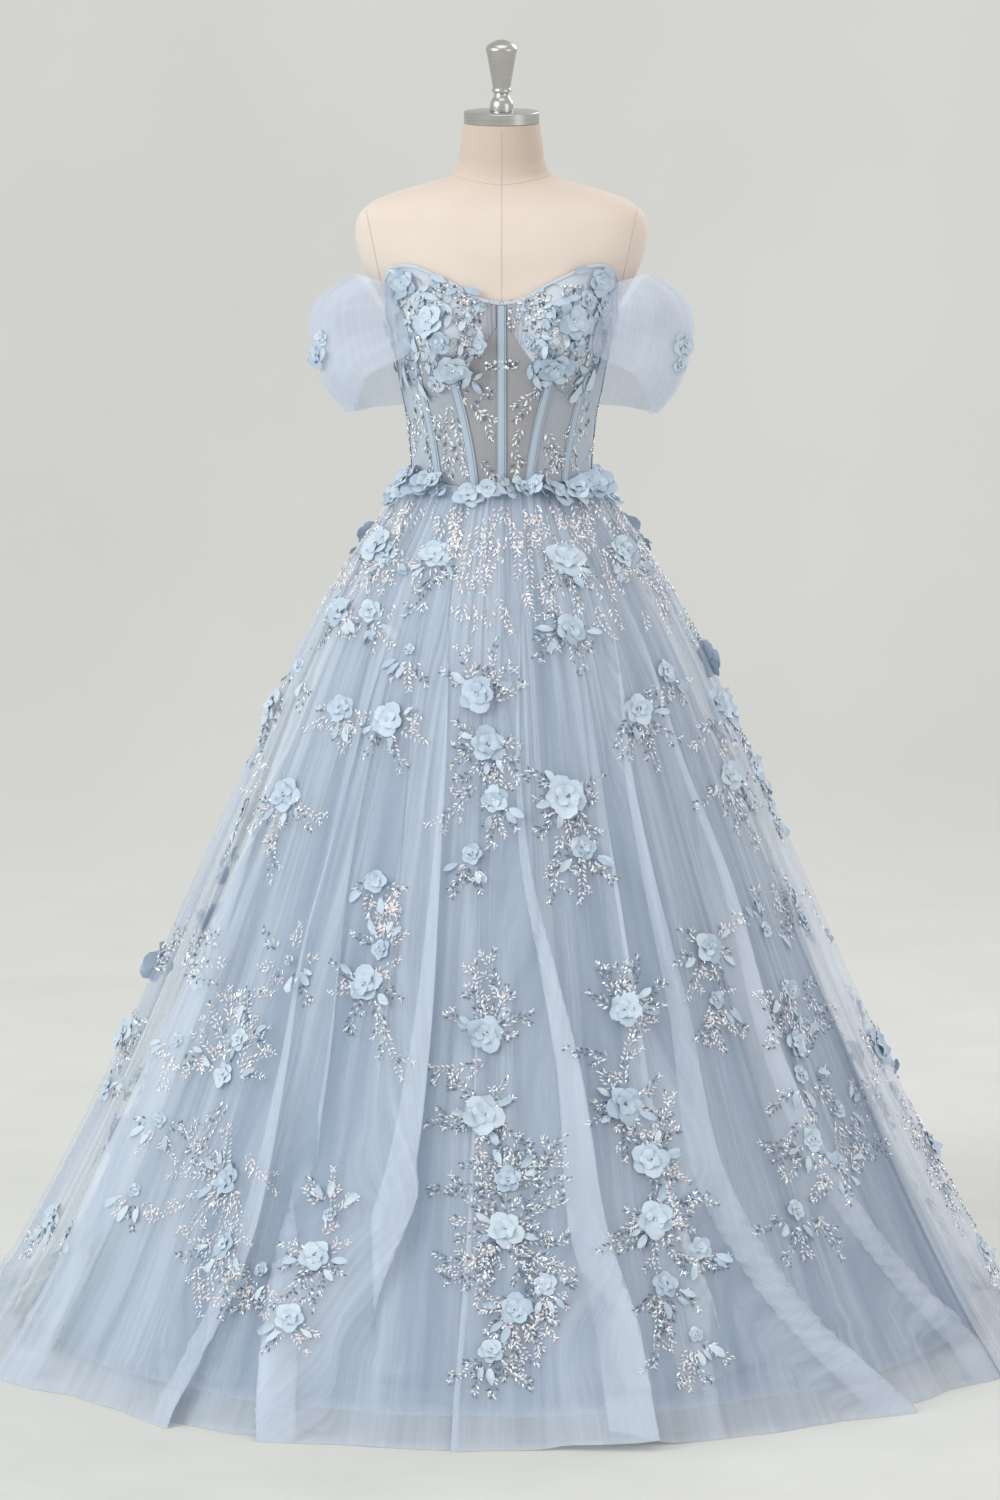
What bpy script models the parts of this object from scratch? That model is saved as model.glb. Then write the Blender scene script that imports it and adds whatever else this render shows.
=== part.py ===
"""Off-the-shoulder A-line prom dress on a limbless dress form with a post stand.

Metres, +Z up. The origin is on the floor, under the middle of the stand's base. The dress faces -Y, and
its own left is +X. Angles run round the body from the centre front (0) through the dress's left (+90) to
the centre back (180), in degrees.
"""

import math
from collections import namedtuple

import bmesh
import bpy
import numpy as np
from mathutils import Matrix, Vector
from mathutils.bvhtree import BVHTree

# ---------------------------------------------------------------- driving sizes
WAIST_HEIGHT = 1.128  # waist seam at the side seams
WAIST_DIP = 0.011  # how much lower the waist seam is at the centre front
HEM_CLEARANCE = 0.0006  # the hem's outer edge stands this far above the floor, its inner edge on it
SEAM_GAP = 0.0003  # between pieces that are sewn edge to edge
BODICE_SEAM_GAP = 0.0008  # at the outside of the corset, so that its thick inside edges stay apart too
LAYER_GAP = 0.0010  # between a piece and what is sewn flat on it
MERGE_DISTANCE = 0.00001

BODICE_WALL = 0.0012  # corset tulle on its stay layer
TULLE_WALL = 0.0010  # skirt overlay, lining and sleeves
BODY_CLEARANCE = 0.0024  # between the dress form's cover and the inside of the bodice
BODICE_OUT = BODY_CLEARANCE + BODICE_WALL  # outside of the bodice, out from the form
WAIST_PADDING = 0.0014  # the form fills the bodice at the waist, where the dress grips it

# Bust of a general dress form: two round rises on the front of the chest.
BUST_HEIGHT = 1.308
BUST_OUT = 0.080  # from the centre line to the fullest point
BUST_RISE = 0.036
CUP_RISE = 0.043  # the bodice's cups stand a little off the form
BUST_SPREAD = 0.044
BUST_ABOVE = 0.058
BUST_BELOW = 0.042
BUST_FADE = 0.6  # how fast the rise dies away round to the side

Section = namedtuple("Section", "height half_width front back squareness")
FORM_SECTIONS = (
    Section(0.800, 0.152, 0.095, 0.110, 2.2),
    Section(0.870, 0.166, 0.101, 0.122, 2.2),
    Section(0.945, 0.163, 0.101, 0.121, 2.1),
    Section(1.030, 0.138, 0.095, 0.104, 2.0),
    Section(1.085, 0.118, 0.088, 0.091, 2.0),
    Section(1.110, 0.113, 0.086, 0.087, 2.0),
    Section(1.135, 0.112, 0.086, 0.086, 2.0),
    Section(1.165, 0.114, 0.087, 0.088, 2.0),
    Section(1.200, 0.118, 0.088, 0.093, 2.05),
    Section(1.235, 0.125, 0.089, 0.098, 2.1),
    Section(1.262, 0.130, 0.090, 0.102, 2.15),
    Section(1.290, 0.135, 0.090, 0.104, 2.2),
    Section(1.318, 0.142, 0.090, 0.107, 2.2),
    Section(1.342, 0.151, 0.090, 0.109, 2.2),
    Section(1.366, 0.1635, 0.089, 0.109, 2.2),
    Section(1.390, 0.1765, 0.088, 0.109, 2.2),
    Section(1.415, 0.185, 0.086, 0.106, 2.2),
    Section(1.440, 0.188, 0.080, 0.100, 2.2),
    Section(1.462, 0.182, 0.073, 0.093, 2.2),
    Section(1.477, 0.165, 0.067, 0.087, 2.2),
    Section(1.489, 0.134, 0.062, 0.081, 2.2),
    Section(1.499, 0.100, 0.057, 0.075, 2.1),
    Section(1.509, 0.069, 0.053, 0.068, 2.0),
    Section(1.524, 0.058, 0.051, 0.060, 2.0),
    Section(1.550, 0.053, 0.050, 0.053, 2.0),
    Section(1.578, 0.049, 0.049, 0.049, 2.0),
)
WAIST_SECTION = FORM_SECTIONS[6]
WAIST_PADDING_REACH = 0.060
FORM_COLUMNS = 28

NeckPoint = namedtuple("NeckPoint", "angle height")
NECKLINE = (  # top edge of the bodice: a sweetheart front that drops under the arm to a straight back
    NeckPoint(0, 1.358),
    NeckPoint(8, 1.364),
    NeckPoint(16, 1.379),
    NeckPoint(26, 1.394),
    NeckPoint(37, 1.404),
    NeckPoint(47, 1.400),
    NeckPoint(56, 1.385),
    NeckPoint(64, 1.362),
    NeckPoint(74, 1.343),
    NeckPoint(90, 1.336),
    NeckPoint(130, 1.326),
    NeckPoint(180, 1.318),
)
CUP_BOTTOM_HEIGHT = 1.258
CUP_BOTTOM_ANGLE = 34
CUP_RISE_TO_CENTRE = 0.077  # how much higher the cup's lower edge is at the centre front
CUP_RISE_TO_SIDE = 0.050  # and at the side-front seam
CUP_SEAM_GAP = 0.0007

Seam = namedtuple("Seam", "waist underbust top")  # its angle at three heights
UNDERBUST_HEIGHT = 1.255
SEAM_TOP_HEIGHT = 1.385
PRINCESS = Seam(18, 26, 36)
SIDE_FRONT = Seam(45, 52, 56)
SIDE = Seam(96, 96, 96)
BACK = Seam(140, 141, 142)
CHANNEL_WIDTH = 0.012
CHANNEL_THICKNESS = 0.0016
CHANNEL_END_GAP = 0.001
BODY_RADIUS = 0.100  # a mean radius of the chest, to turn widths into angles
BINDING_WIDTH = 0.006
BINDING_THICKNESS = 0.0008
ZIP_WIDTH = 0.007
ZIP_THICKNESS = 0.0014

# Skirt: the outer line of its folds at the side, and how much of each fold's full height is out there.
SkirtSection = namedtuple("SkirtSection", "height side fold_share gather")
SKIRT_SECTIONS = (
    SkirtSection(0.000, 0.712, 1.00, 0.0000),
    SkirtSection(0.060, 0.672, 0.94, 0.0000),
    SkirtSection(0.220, 0.581, 0.80, 0.0000),
    SkirtSection(0.400, 0.491, 0.64, 0.0000),
    SkirtSection(0.600, 0.401, 0.47, 0.0006),
    SkirtSection(0.780, 0.318, 0.33, 0.0014),
    SkirtSection(0.920, 0.253, 0.23, 0.0028),
    SkirtSection(1.010, 0.200, 0.17, 0.0040),
    SkirtSection(1.080, 0.150, 0.10, 0.0040),
    SkirtSection(1.128, 0.1206, 0.045, 0.0030),
)
FRONT_FULLNESS = 1.09  # growth of the skirt to the front and back, against its growth to the sides
LEFT_FULLNESS = 1.018  # and to the dress's left, where it has swung out a little
DEEPEST_FOLD = 0.046
DIP_FADES_AT = 1.000  # below this height the rows of the skirt are level

# Folds of the overlay: its panel, middle and half width in degrees, rise at the hem, lean of the crest.
Fold = namedtuple("Fold", "panel angle half_width rise lean")
FOLDS = (
    Fold("front", -14, 4.6, 0.040, 0.25),
    Fold("front", 3.5, 5.2, 0.050, -0.30),
    Fold("front", 15.5, 3.4, 0.020, 0.0),
    Fold("front_left", 29, 4.4, 0.040, 0.35),
    Fold("front_left", 43, 5.6, 0.052, -0.20),
    Fold("front_left", 57, 4.6, 0.034, 0.30),
    Fold("side_left", 72, 5.4, 0.042, -0.25),
    Fold("side_left", 87.5, 4.2, 0.026, 0.20),
    Fold("side_left", 103, 6.0, 0.046, 0.0),
    Fold("back_left", 120, 5.6, 0.036, 0.30),
    Fold("back_left", 134, 4.4, 0.048, -0.30),
    Fold("back_left", 150, 6.0, 0.030, 0.25),
    Fold("back", 166, 4.6, 0.042, -0.20),
    Fold("back", 180, 5.0, 0.050, 0.15),
    Fold("back", 195, 5.6, 0.032, -0.30),
    Fold("back_right", 211, 5.4, 0.044, 0.30),
    Fold("back_right", 226, 4.4, 0.032, 0.0),
    Fold("back_right", 241, 5.6, 0.046, -0.25),
    Fold("side_right", 257, 5.2, 0.034, 0.25),
    Fold("side_right", 271, 4.4, 0.044, -0.20),
    Fold("side_right", 286, 5.8, 0.036, 0.30),
    Fold("front_right", 302, 5.4, 0.050, -0.25),
    Fold("front_right", 316, 4.4, 0.030, 0.20),
    Fold("front_right", 330, 5.2, 0.046, 0.30),
)
GORES = {}
for fold in FOLDS:
    GORES.setdefault(f"overlay_{fold.panel}", []).append(fold)
# Columns through one fold: place across it, place of the crest's lean, and share of its rise.
FoldColumn = namedtuple("FoldColumn", "across leaning share")
FOLD_COLUMNS = (
    FoldColumn(-1.0, 0.0, 0.0),
    FoldColumn(-0.34, 1.0, 0.88),
    FoldColumn(0.34, 1.0, 0.88),
    FoldColumn(1.0, 0.0, 0.0),
)

LINING_HEM = 0.055  # the satin skirt ends this far above the floor
LINING_BEHIND = 0.012  # room between the lining and the overlay, once clear of the waist
LINING_FALLS_BACK = 0.100  # over this height below the waist
LINING_PANELS = {"lining_front": 0, "lining_left": 90, "lining_back": 180, "lining_right": 270}
LINING_COLUMNS = 7
LINING_LEVELS = (LINING_HEM, *(section.height for section in SKIRT_SECTIONS[2:]))

# Sleeve: a band of gathered tulle that loops from the bodice's front corner round to its back.
SleeveSection = namedtuple("SleeveSection", "down outward")
SLEEVE_SECTIONS = (  # share of the way down the band, share of the loop's full reach at its outer side
    SleeveSection(0.00, 0.47),
    SleeveSection(0.05, 0.64),
    SleeveSection(0.14, 0.84),
    SleeveSection(0.26, 0.96),
    SleeveSection(0.40, 1.00),
    SleeveSection(0.55, 0.975),
    SleeveSection(0.72, 0.91),
    SleeveSection(0.87, 0.78),
    SleeveSection(1.00, 0.58),
)
SLEEVE_INNER_X = 0.137
SLEEVE_REACH = 0.110
SLEEVE_MIDDLE_Y = 0.006
SLEEVE_HALF_DEPTH = 0.078
SLEEVE_PUFF = 0.16  # how much deeper than its ends the loop is where it puffs out
SleeveEdge = namedtuple("SleeveEdge", "turn top bottom")
SLEEVE_EDGES = (  # turn round the loop, from the front end (-90) to the back end (90)
    SleeveEdge(-90, 1.376, 1.300),
    SleeveEdge(-60, 1.384, 1.256),
    SleeveEdge(-25, 1.386, 1.206),
    SleeveEdge(0, 1.383, 1.202),
    SleeveEdge(30, 1.370, 1.200),
    SleeveEdge(60, 1.340, 1.200),
    SleeveEdge(90, 1.306, 1.210),
)
SLEEVE_JOINS_FROM = 62  # past this turn the band runs in to its seam on the bodice
SLEEVE_FRONT_ANGLE = 52
SLEEVE_BACK_ANGLE = 132
SLEEVE_PLEATS = 4
SLEEVE_PLEAT_RISE = 0.0034
SLEEVE_OUTER_PLEATS = 0.35  # share of that rise left at the loop's outer side
SLEEVE_SQUARENESS = 0.75
SLEEVE_TURNS = 10
SLEEVE_STEPS = 15
SLEEVE_FLOWER_TURN = -24
SLEEVE_FLOWER_DOWN = 0.42
SLEEVE_FLOWER_RADIUS = 0.021
SLEEVE_FLOWER_SPIN = 20

Bloom = namedtuple("Bloom", "angle height radius spin")
BODICE_FLOWERS = (
    Bloom(29, 1.284, 0.026, 10),
    Bloom(34, 1.343, 0.024, 40),
    Bloom(51, 1.378, 0.021, 25),
    Bloom(-29, 1.284, 0.026, 46),
    Bloom(-33, 1.345, 0.024, 15),
    Bloom(-51, 1.378, 0.021, 60),
)
WAIST_FLOWERS = (
    Bloom(3, 1.106, 0.020, 20),
    Bloom(33, 1.104, 0.027, 5),
    Bloom(68, 1.110, 0.024, 50),
    Bloom(-24, 1.100, 0.025, 33),
    Bloom(-58, 1.106, 0.026, 12),
    Bloom(112, 1.112, 0.024, 28),
    Bloom(150, 1.112, 0.025, 62),
    Bloom(193, 1.112, 0.024, 8),
    Bloom(232, 1.112, 0.025, 41),
    Bloom(272, 1.112, 0.023, 17),
)
SKIRT_FLOWERS = (
    Bloom(-5, 0.800, 0.026, 10),
    Bloom(-3.5, 0.735, 0.024, 50),
    Bloom(9.5, 0.650, 0.030, 25),
    Bloom(30, 0.985, 0.024, 60),
    Bloom(18.5, 0.275, 0.028, 5),
    Bloom(-4.5, 0.300, 0.028, 35),
    Bloom(-4.5, 0.200, 0.030, 0),
    Bloom(18.5, 0.165, 0.030, 45),
    Bloom(36.5, 0.730, 0.027, 18),
    Bloom(49.5, 0.560, 0.028, 44),
    Bloom(50.5, 0.245, 0.029, 8),
    Bloom(72, 0.830, 0.025, 30),
    Bloom(-36, 0.420, 0.028, 52),
    Bloom(-37, 0.120, 0.030, 22),
    Bloom(-53, 0.260, 0.030, 40),
    Bloom(-52, 0.640, 0.027, 5),
    Bloom(95, 0.560, 0.028, 12),
    Bloom(127, 0.360, 0.030, 33),
    Bloom(173, 0.620, 0.028, 48),
    Bloom(188, 0.260, 0.030, 20),
    Bloom(219, 0.460, 0.028, 2),
    Bloom(263, 0.330, 0.030, 36),
)
PETALS = 5
FLOWER_THICKNESS = 0.0012
FLOWER_HEART = 0.0019  # thickness at its middle
FLOWER_NOTCH = 0.62  # radius between two petals, as a share of the flower's
FLOWER_CUP = 0.26  # how far the petals' tips lift off the cloth, as a share of the radius
WAIST_FLOWER_TILT = 0.45  # the waist's flowers face up a little, as the skirt swells below them
SLOPE_STEP = 0.004
FLOWER_GAP = 0.0005  # between a flower and what it lies on
EDGE_SPOTS = (0.2, 0.4, 0.6, 0.8)  # places along each of its edges where that is measured
SEWN_DEPTH = 0.0007  # how deep the sewn middle of a skirt flower sits in the tulle

STAND_BASE_RADIUS = 0.165
STAND_BASE_EDGE = 0.008
STAND_HUB_RADIUS = 0.026
STAND_HUB_HEIGHT = 0.034
STAND_HUB_SKIRT = 0.006  # height of the hub's foot over the base's edge
STAND_POLE_RADIUS = 0.016
STAND_FLANGE_RADIUS = 0.045  # the plate that carries the form
STAND_FLANGE_DEPTH = 0.006
STAND_BEVEL = 0.003
STAND_BEVEL_WIDTH = 0.012
CAP_RADIUS = 0.0484
CAP_HEIGHT = 0.0148
CAP_BEVEL = 0.0010
FinialPoint = namedtuple("FinialPoint", "radius height")
FINIAL_PROFILE = (  # from its foot on the neck cap to the top of its dome
    FinialPoint(0.0150, 0.000),
    FinialPoint(0.0150, 0.007),
    FinialPoint(0.0142, 0.012),
    FinialPoint(0.0098, 0.019),
    FinialPoint(0.0094, 0.023),
    FinialPoint(0.0122, 0.025),
    FinialPoint(0.0122, 0.028),
    FinialPoint(0.0112, 0.030),
    FinialPoint(0.0150, 0.052),
    FinialPoint(0.0188, 0.074),
    FinialPoint(0.0202, 0.077),
    FinialPoint(0.0190, 0.080),
    FinialPoint(0.0140, 0.087),
    FinialPoint(0.0070, 0.091),
    FinialPoint(0.0000, 0.092),
)
ROUND_STEPS = 24
FINIAL_STEPS = 14
FORM_PIECES = ("form_torso", "stand_base", "stand_pole", "neck_cap", "finial")


# ---------------------------------------------------------------- materials
def make_material(name, colour, roughness, metallic=0.0):
    material = bpy.data.materials.new(name)
    material.use_nodes = True
    shader = material.node_tree.nodes["Principled BSDF"]
    shader.inputs["Base Color"].default_value = (*colour, 1.0)
    shader.inputs["Roughness"].default_value = roughness
    shader.inputs["Metallic"].default_value = metallic
    material.diffuse_color = (*colour, 1.0)
    return material


def make_materials():
    return {
        "tulle": make_material("pale_blue_tulle", (0.47, 0.57, 0.70), 0.75),
        "satin": make_material("dusty_blue_satin", (0.28, 0.38, 0.50), 0.45),
        "corset": make_material("sheer_corset_tulle", (0.42, 0.45, 0.50), 0.70),
        "channel": make_material("satin_boning_channel", (0.36, 0.46, 0.60), 0.40),
        "organza": make_material("organza_petal", (0.40, 0.54, 0.66), 0.60),
        "jersey": make_material("cream_jersey_cover", (0.84, 0.74, 0.65), 0.85),
        "steel": make_material("brushed_steel", (0.58, 0.57, 0.55), 0.30, 1.0),
        "stand": make_material("painted_steel_stand", (0.62, 0.61, 0.59), 0.45, 0.6),
    }


# ---------------------------------------------------------------- curves through tables
def ease(share):
    share = min(max(share, 0.0), 1.0)
    return share * share * (3 - 2 * share)


def along(table, place):
    """The columns of a table at a place along its first column, on a smooth curve through its rows."""
    rows = np.array(table, float)
    places, values = rows[:, 0], rows[:, 1:]
    place = min(max(place, places[0]), places[-1])
    i = min(int(np.searchsorted(places, place, side="right")) - 1, len(rows) - 2)
    slopes = np.gradient(values, places, axis=0)
    span = places[i + 1] - places[i]
    t = (place - places[i]) / span
    leaving = t * (1 - t) ** 2 * span * slopes[i]
    arriving = t * t * (t - 1) * span * slopes[i + 1]
    return values[i] + ease(t) * (values[i + 1] - values[i]) + leaving + arriving


def straight_along(table, place):
    """As along, with straight runs between the rows."""
    rows = np.array(table, float)
    return np.array([np.interp(place, rows[:, 0], column) for column in rows[:, 1:].T])


# ---------------------------------------------------------------- the body's surface
def bust_rise(x, height, front_share, full_rise):
    if front_share <= 0:
        return 0.0
    across = math.exp(-(((abs(x) - BUST_OUT) / BUST_SPREAD) ** 2))
    reach = BUST_ABOVE if height > BUST_HEIGHT else BUST_BELOW
    return full_rise * across * math.exp(-(((height - BUST_HEIGHT) / reach) ** 2)) * front_share**BUST_FADE


def body_point(angle, height, out=0.0, full_rise=CUP_RISE):
    """A point on the body the bodice is cut for, moved out of it."""
    half_width, front, back, squareness = along(FORM_SECTIONS, height)
    s, c = math.sin(math.radians(angle)), math.cos(math.radians(angle))
    power = 2 / squareness
    depth = front if c > 0 else back
    x = (half_width + out) * math.copysign(abs(s) ** power, s)
    y = -(depth + out) * math.copysign(abs(c) ** power, c)
    return Vector((x, y - bust_rise(x, height, c, full_rise), height))


def waist_height(angle):
    toward_front = max(0.0, math.cos(math.radians(angle)))
    return WAIST_HEIGHT - WAIST_DIP * toward_front**2


def folded_angle(angle):
    """The angle on one side of the body that mirrors this one."""
    return abs((angle + 180) % 360 - 180)


def neck_height(angle):
    return float(along(NECKLINE, folded_angle(angle))[0])


def cup_bottom(angle):
    angle = folded_angle(angle)
    if angle < CUP_BOTTOM_ANGLE:
        return CUP_BOTTOM_HEIGHT + CUP_RISE_TO_CENTRE * (1 - angle / CUP_BOTTOM_ANGLE) ** 2
    share = (angle - CUP_BOTTOM_ANGLE) / (SIDE_FRONT.top - CUP_BOTTOM_ANGLE)
    return CUP_BOTTOM_HEIGHT + CUP_RISE_TO_SIDE * share**2


def seam_angle(seam, height):
    heights = (WAIST_HEIGHT, UNDERBUST_HEIGHT, SEAM_TOP_HEIGHT)
    return float(along(tuple(zip(heights, seam)), height)[0])


# ---------------------------------------------------------------- making objects
def add_object(name, mesh, material, collection):
    mesh.materials.append(material)
    made = bpy.data.objects.new(name, mesh)
    collection.objects.link(made)
    return made


def surface_mesh(name, rows, closed=False):
    """A surface through rows of points, which run upwards, each turning from front to left."""
    made = bmesh.new()
    points = [[made.verts.new(p) for p in row] for row in rows]
    count = len(points[0])
    for lower, upper in zip(points, points[1:]):
        for i in range(count if closed else count - 1):
            j = (i + 1) % count
            made.faces.new((lower[i], lower[j], upper[j], upper[i]))
    mesh = bpy.data.meshes.new(name)
    made.to_mesh(mesh)
    made.free()
    mesh.shade_smooth()
    return mesh


def cloth(name, rows, wall, material, collection, closed=False):
    """A wall of cloth whose outside runs through the points and whose thickness is inwards."""
    made = add_object(name, surface_mesh(name, rows, closed), material, collection)
    thicken = made.modifiers.new("wall", "SOLIDIFY")
    thicken.thickness = wall
    thicken.offset = -1
    return made


def patch(left, right, bottom, top, columns, rows, out):
    """Points of a bodice piece between two side edges, angles by height, and two ends, heights by angle."""
    found = []
    for v in np.linspace(0, 1, rows):
        row = []
        for u in np.linspace(0, 1, columns):
            height = UNDERBUST_HEIGHT
            for _ in range(6):
                angle = left(height) + u * (right(height) - left(height))
                height = bottom(angle) + v * (top(angle) - bottom(angle))
            row.append(body_point(angle, height, out))
        found.append(row)
    return found


def mirrored_edges(seam_a, seam_b, side, gap):
    """The two edges, from lower to higher angle, of a piece between two seams of one side of the body."""
    first = (lambda h: seam_angle(seam_a, h) + gap) if seam_a else (lambda h: gap)
    last = (lambda h: seam_angle(seam_b, h) - gap) if seam_b else (lambda h: 180 - gap)
    if side > 0:
        return first, last
    return (lambda h: -last(h)), (lambda h: -first(h))


# ---------------------------------------------------------------- dress form and stand
def build_form(materials, collection):
    angles = [360 * i / FORM_COLUMNS for i in range(FORM_COLUMNS)]
    rows = []
    for section in FORM_SECTIONS:
        near_waist = 1 - abs(section.height - WAIST_SECTION.height) / WAIST_PADDING_REACH
        padding = WAIST_PADDING * ease(2 * near_waist)
        rows.append([body_point(a, section.height, padding, BUST_RISE) for a in angles])
    mesh = surface_mesh("form_torso", rows, closed=True)
    torso = add_object("form_torso", mesh, materials["jersey"], collection)
    shape = bmesh.new()
    shape.from_mesh(torso.data)
    bmesh.ops.holes_fill(shape, edges=[e for e in shape.edges if e.is_boundary])
    bmesh.ops.recalc_face_normals(shape, faces=shape.faces)
    shape.to_mesh(torso.data)
    shape.free()


def turned(name, profile, material, collection, base_height=0.0, steps=ROUND_STEPS):
    """A turned piece from a profile of (radius, height) points that runs down its outer side."""
    mesh = bpy.data.meshes.new(name)
    points = [(radius, 0, height) for radius, height in profile]
    mesh.from_pydata(points, [(i, i + 1) for i in range(len(points) - 1)], [])
    made = add_object(name, mesh, material, collection)
    made.location.z = base_height
    screw = made.modifiers.new("turn", "SCREW")
    screw.steps = screw.render_steps = steps
    screw.use_merge_vertices = True
    screw.merge_threshold = MERGE_DISTANCE
    return made


def build_stand(materials, collection):
    base = (
        (0, STAND_HUB_HEIGHT),
        (STAND_HUB_RADIUS, STAND_HUB_HEIGHT),
        (STAND_HUB_RADIUS, STAND_BASE_EDGE + STAND_HUB_SKIRT),
        (STAND_BASE_RADIUS - STAND_BEVEL_WIDTH, STAND_BASE_EDGE),
        (STAND_BASE_RADIUS, STAND_BASE_EDGE - STAND_BEVEL),
        (STAND_BASE_RADIUS, 0),
        (0, 0),
    )
    turned("stand_base", base, materials["stand"], collection)
    bottom = STAND_HUB_HEIGHT + SEAM_GAP
    top = FORM_SECTIONS[0].height - SEAM_GAP
    pole = (
        (0, top),
        (STAND_FLANGE_RADIUS, top),
        (STAND_FLANGE_RADIUS, top - STAND_FLANGE_DEPTH),
        (STAND_POLE_RADIUS, top - STAND_FLANGE_DEPTH),
        (STAND_POLE_RADIUS, bottom),
        (0, bottom),
    )
    turned("stand_pole", pole, materials["stand"], collection)


def build_neck_cap(materials, collection):
    bottom = FORM_SECTIONS[-1].height + SEAM_GAP
    cap = (
        (0, CAP_HEIGHT),
        (CAP_RADIUS - CAP_BEVEL, CAP_HEIGHT),
        (CAP_RADIUS, CAP_HEIGHT - CAP_BEVEL),
        (CAP_RADIUS, 0),
        (0, 0),
    )
    turned("neck_cap", cap, materials["steel"], collection, bottom)
    profile = [*reversed(FINIAL_PROFILE), (0, 0)]
    turned("finial", profile, materials["steel"], collection, bottom + CAP_HEIGHT + SEAM_GAP, FINIAL_STEPS)


# ---------------------------------------------------------------- bodice
def build_bodice(materials, collection):
    half_gap = math.degrees(BODICE_SEAM_GAP / 2 / BODY_RADIUS)

    def piece(name, seam_a, seam_b, bottom, top, columns, rows):
        for side, word in ((1, "left"), (-1, "right")):
            left, right = mirrored_edges(seam_a, seam_b, side, half_gap)
            points = patch(left, right, bottom, top, columns, rows, BODICE_OUT)
            cloth(f"{name}_{word}", points, BODICE_WALL, materials["corset"], collection)

    def under_cup(angle):
        return cup_bottom(angle) - CUP_SEAM_GAP

    piece("cup", None, SIDE_FRONT, cup_bottom, neck_height, 9, 8)
    piece("bodice_front", None, PRINCESS, waist_height, under_cup, 6, 9)
    piece("bodice_side_front", PRINCESS, SIDE_FRONT, waist_height, under_cup, 6, 8)
    piece("bodice_side", SIDE_FRONT, SIDE, waist_height, neck_height, 6, 12)
    piece("bodice_back", SIDE, None, waist_height, neck_height, 8, 10)


def strip(seam, bottom, top, width, thickness, rows):
    """Points of a narrow band along a seam, sewn flat on the bodice."""
    out = BODICE_OUT + LAYER_GAP + thickness
    found = []
    for v in np.linspace(0, 1, rows):
        angle = seam_angle(seam, UNDERBUST_HEIGHT)
        for _ in range(4):
            height = bottom(angle) + v * (top(angle) - bottom(angle))
            angle = seam_angle(seam, height)
        across = (body_point(angle + 1, height, out) - body_point(angle - 1, height, out)).length / 2
        half = width / 2 / across
        row = [body_point(angle + step * half, height, out) for step in (-1, 1)]
        found.append(row)
    return found


def mirrored(seam):
    return Seam(*(-a for a in seam))


def build_channels(materials, collection):
    def above_waist(angle):
        return waist_height(angle) + CHANNEL_END_GAP

    below_binding = BINDING_WIDTH + CHANNEL_END_GAP
    across = math.degrees(CHANNEL_WIDTH / 2 / BODY_RADIUS)

    def below_neck(angle):
        return min(neck_height(angle + step * across) for step in (-1, 0, 1)) - below_binding

    def below_cup(angle):
        return cup_bottom(angle) - 2 * CHANNEL_END_GAP

    centre = Seam(0, 0, 0)
    points = strip(centre, above_waist, below_neck, CHANNEL_WIDTH, CHANNEL_THICKNESS, 14)
    cloth("channel_centre", points, CHANNEL_THICKNESS, materials["channel"], collection)
    pairs = (
        ("channel_princess", PRINCESS, below_cup, 9),
        ("channel_side_front", SIDE_FRONT, below_neck, 16),
        ("channel_side", SIDE, below_neck, 11),
        ("channel_back", BACK, below_neck, 10),
    )
    for name, seam, top, rows in pairs:
        for word, placed in (("left", seam), ("right", mirrored(seam))):
            points = strip(placed, above_waist, top, CHANNEL_WIDTH, CHANNEL_THICKNESS, rows)
            cloth(f"{name}_{word}", points, CHANNEL_THICKNESS, materials["channel"], collection)
    points = strip(Seam(180, 180, 180), above_waist, below_neck, ZIP_WIDTH, ZIP_THICKNESS, 10)
    cloth("back_zip", points, ZIP_THICKNESS, materials["channel"], collection)


def build_binding(materials, collection):
    out = BODICE_OUT + LAYER_GAP + BINDING_THICKNESS
    angles = np.concatenate([np.arange(0, 84, 6), np.arange(84, 180, 12)])
    angles = np.concatenate([angles, [180], 360 - angles[:0:-1]])
    rows = [
        [body_point(a, neck_height(a) - drop, out) for a in angles]
        for drop in (BINDING_WIDTH, 0.0)
    ]
    cloth("neckline_binding", rows, BINDING_THICKNESS, materials["channel"], collection, closed=True)


# ---------------------------------------------------------------- skirt
def skirt_radii(height):
    """Radii between the folds, to the side and to the front, and the shares of folds and of gathers."""
    side, fold_share, gather = straight_along(SKIRT_SECTIONS, height)
    waist = SKIRT_SECTIONS[-1].side
    front_waist = waist - WAIST_SECTION.half_width + WAIST_SECTION.front
    front = front_waist + (side - waist) * FRONT_FULLNESS
    valley = DEEPEST_FOLD * fold_share
    return side - valley, front - valley, fold_share, gather


def skirt_height(height, angle):
    """Rows of the skirt near the waist follow its dip."""
    share = (height - DIP_FADES_AT) / (WAIST_HEIGHT - DIP_FADES_AT)
    return height - max(0.0, share) * (WAIST_HEIGHT - waist_height(angle))


def skirt_point(angle, height, rise=0.0, inward=0.0):
    side, front, _, _ = skirt_radii(height)
    s, c = math.sin(math.radians(angle)), math.cos(math.radians(angle))
    if s > 0:
        waist = SKIRT_SECTIONS[-1].side
        side += (side - waist) * (LEFT_FULLNESS - 1) * s
    return Vector(((side + rise - inward) * s, -(front + rise - inward) * c, skirt_height(height, angle)))


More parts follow.
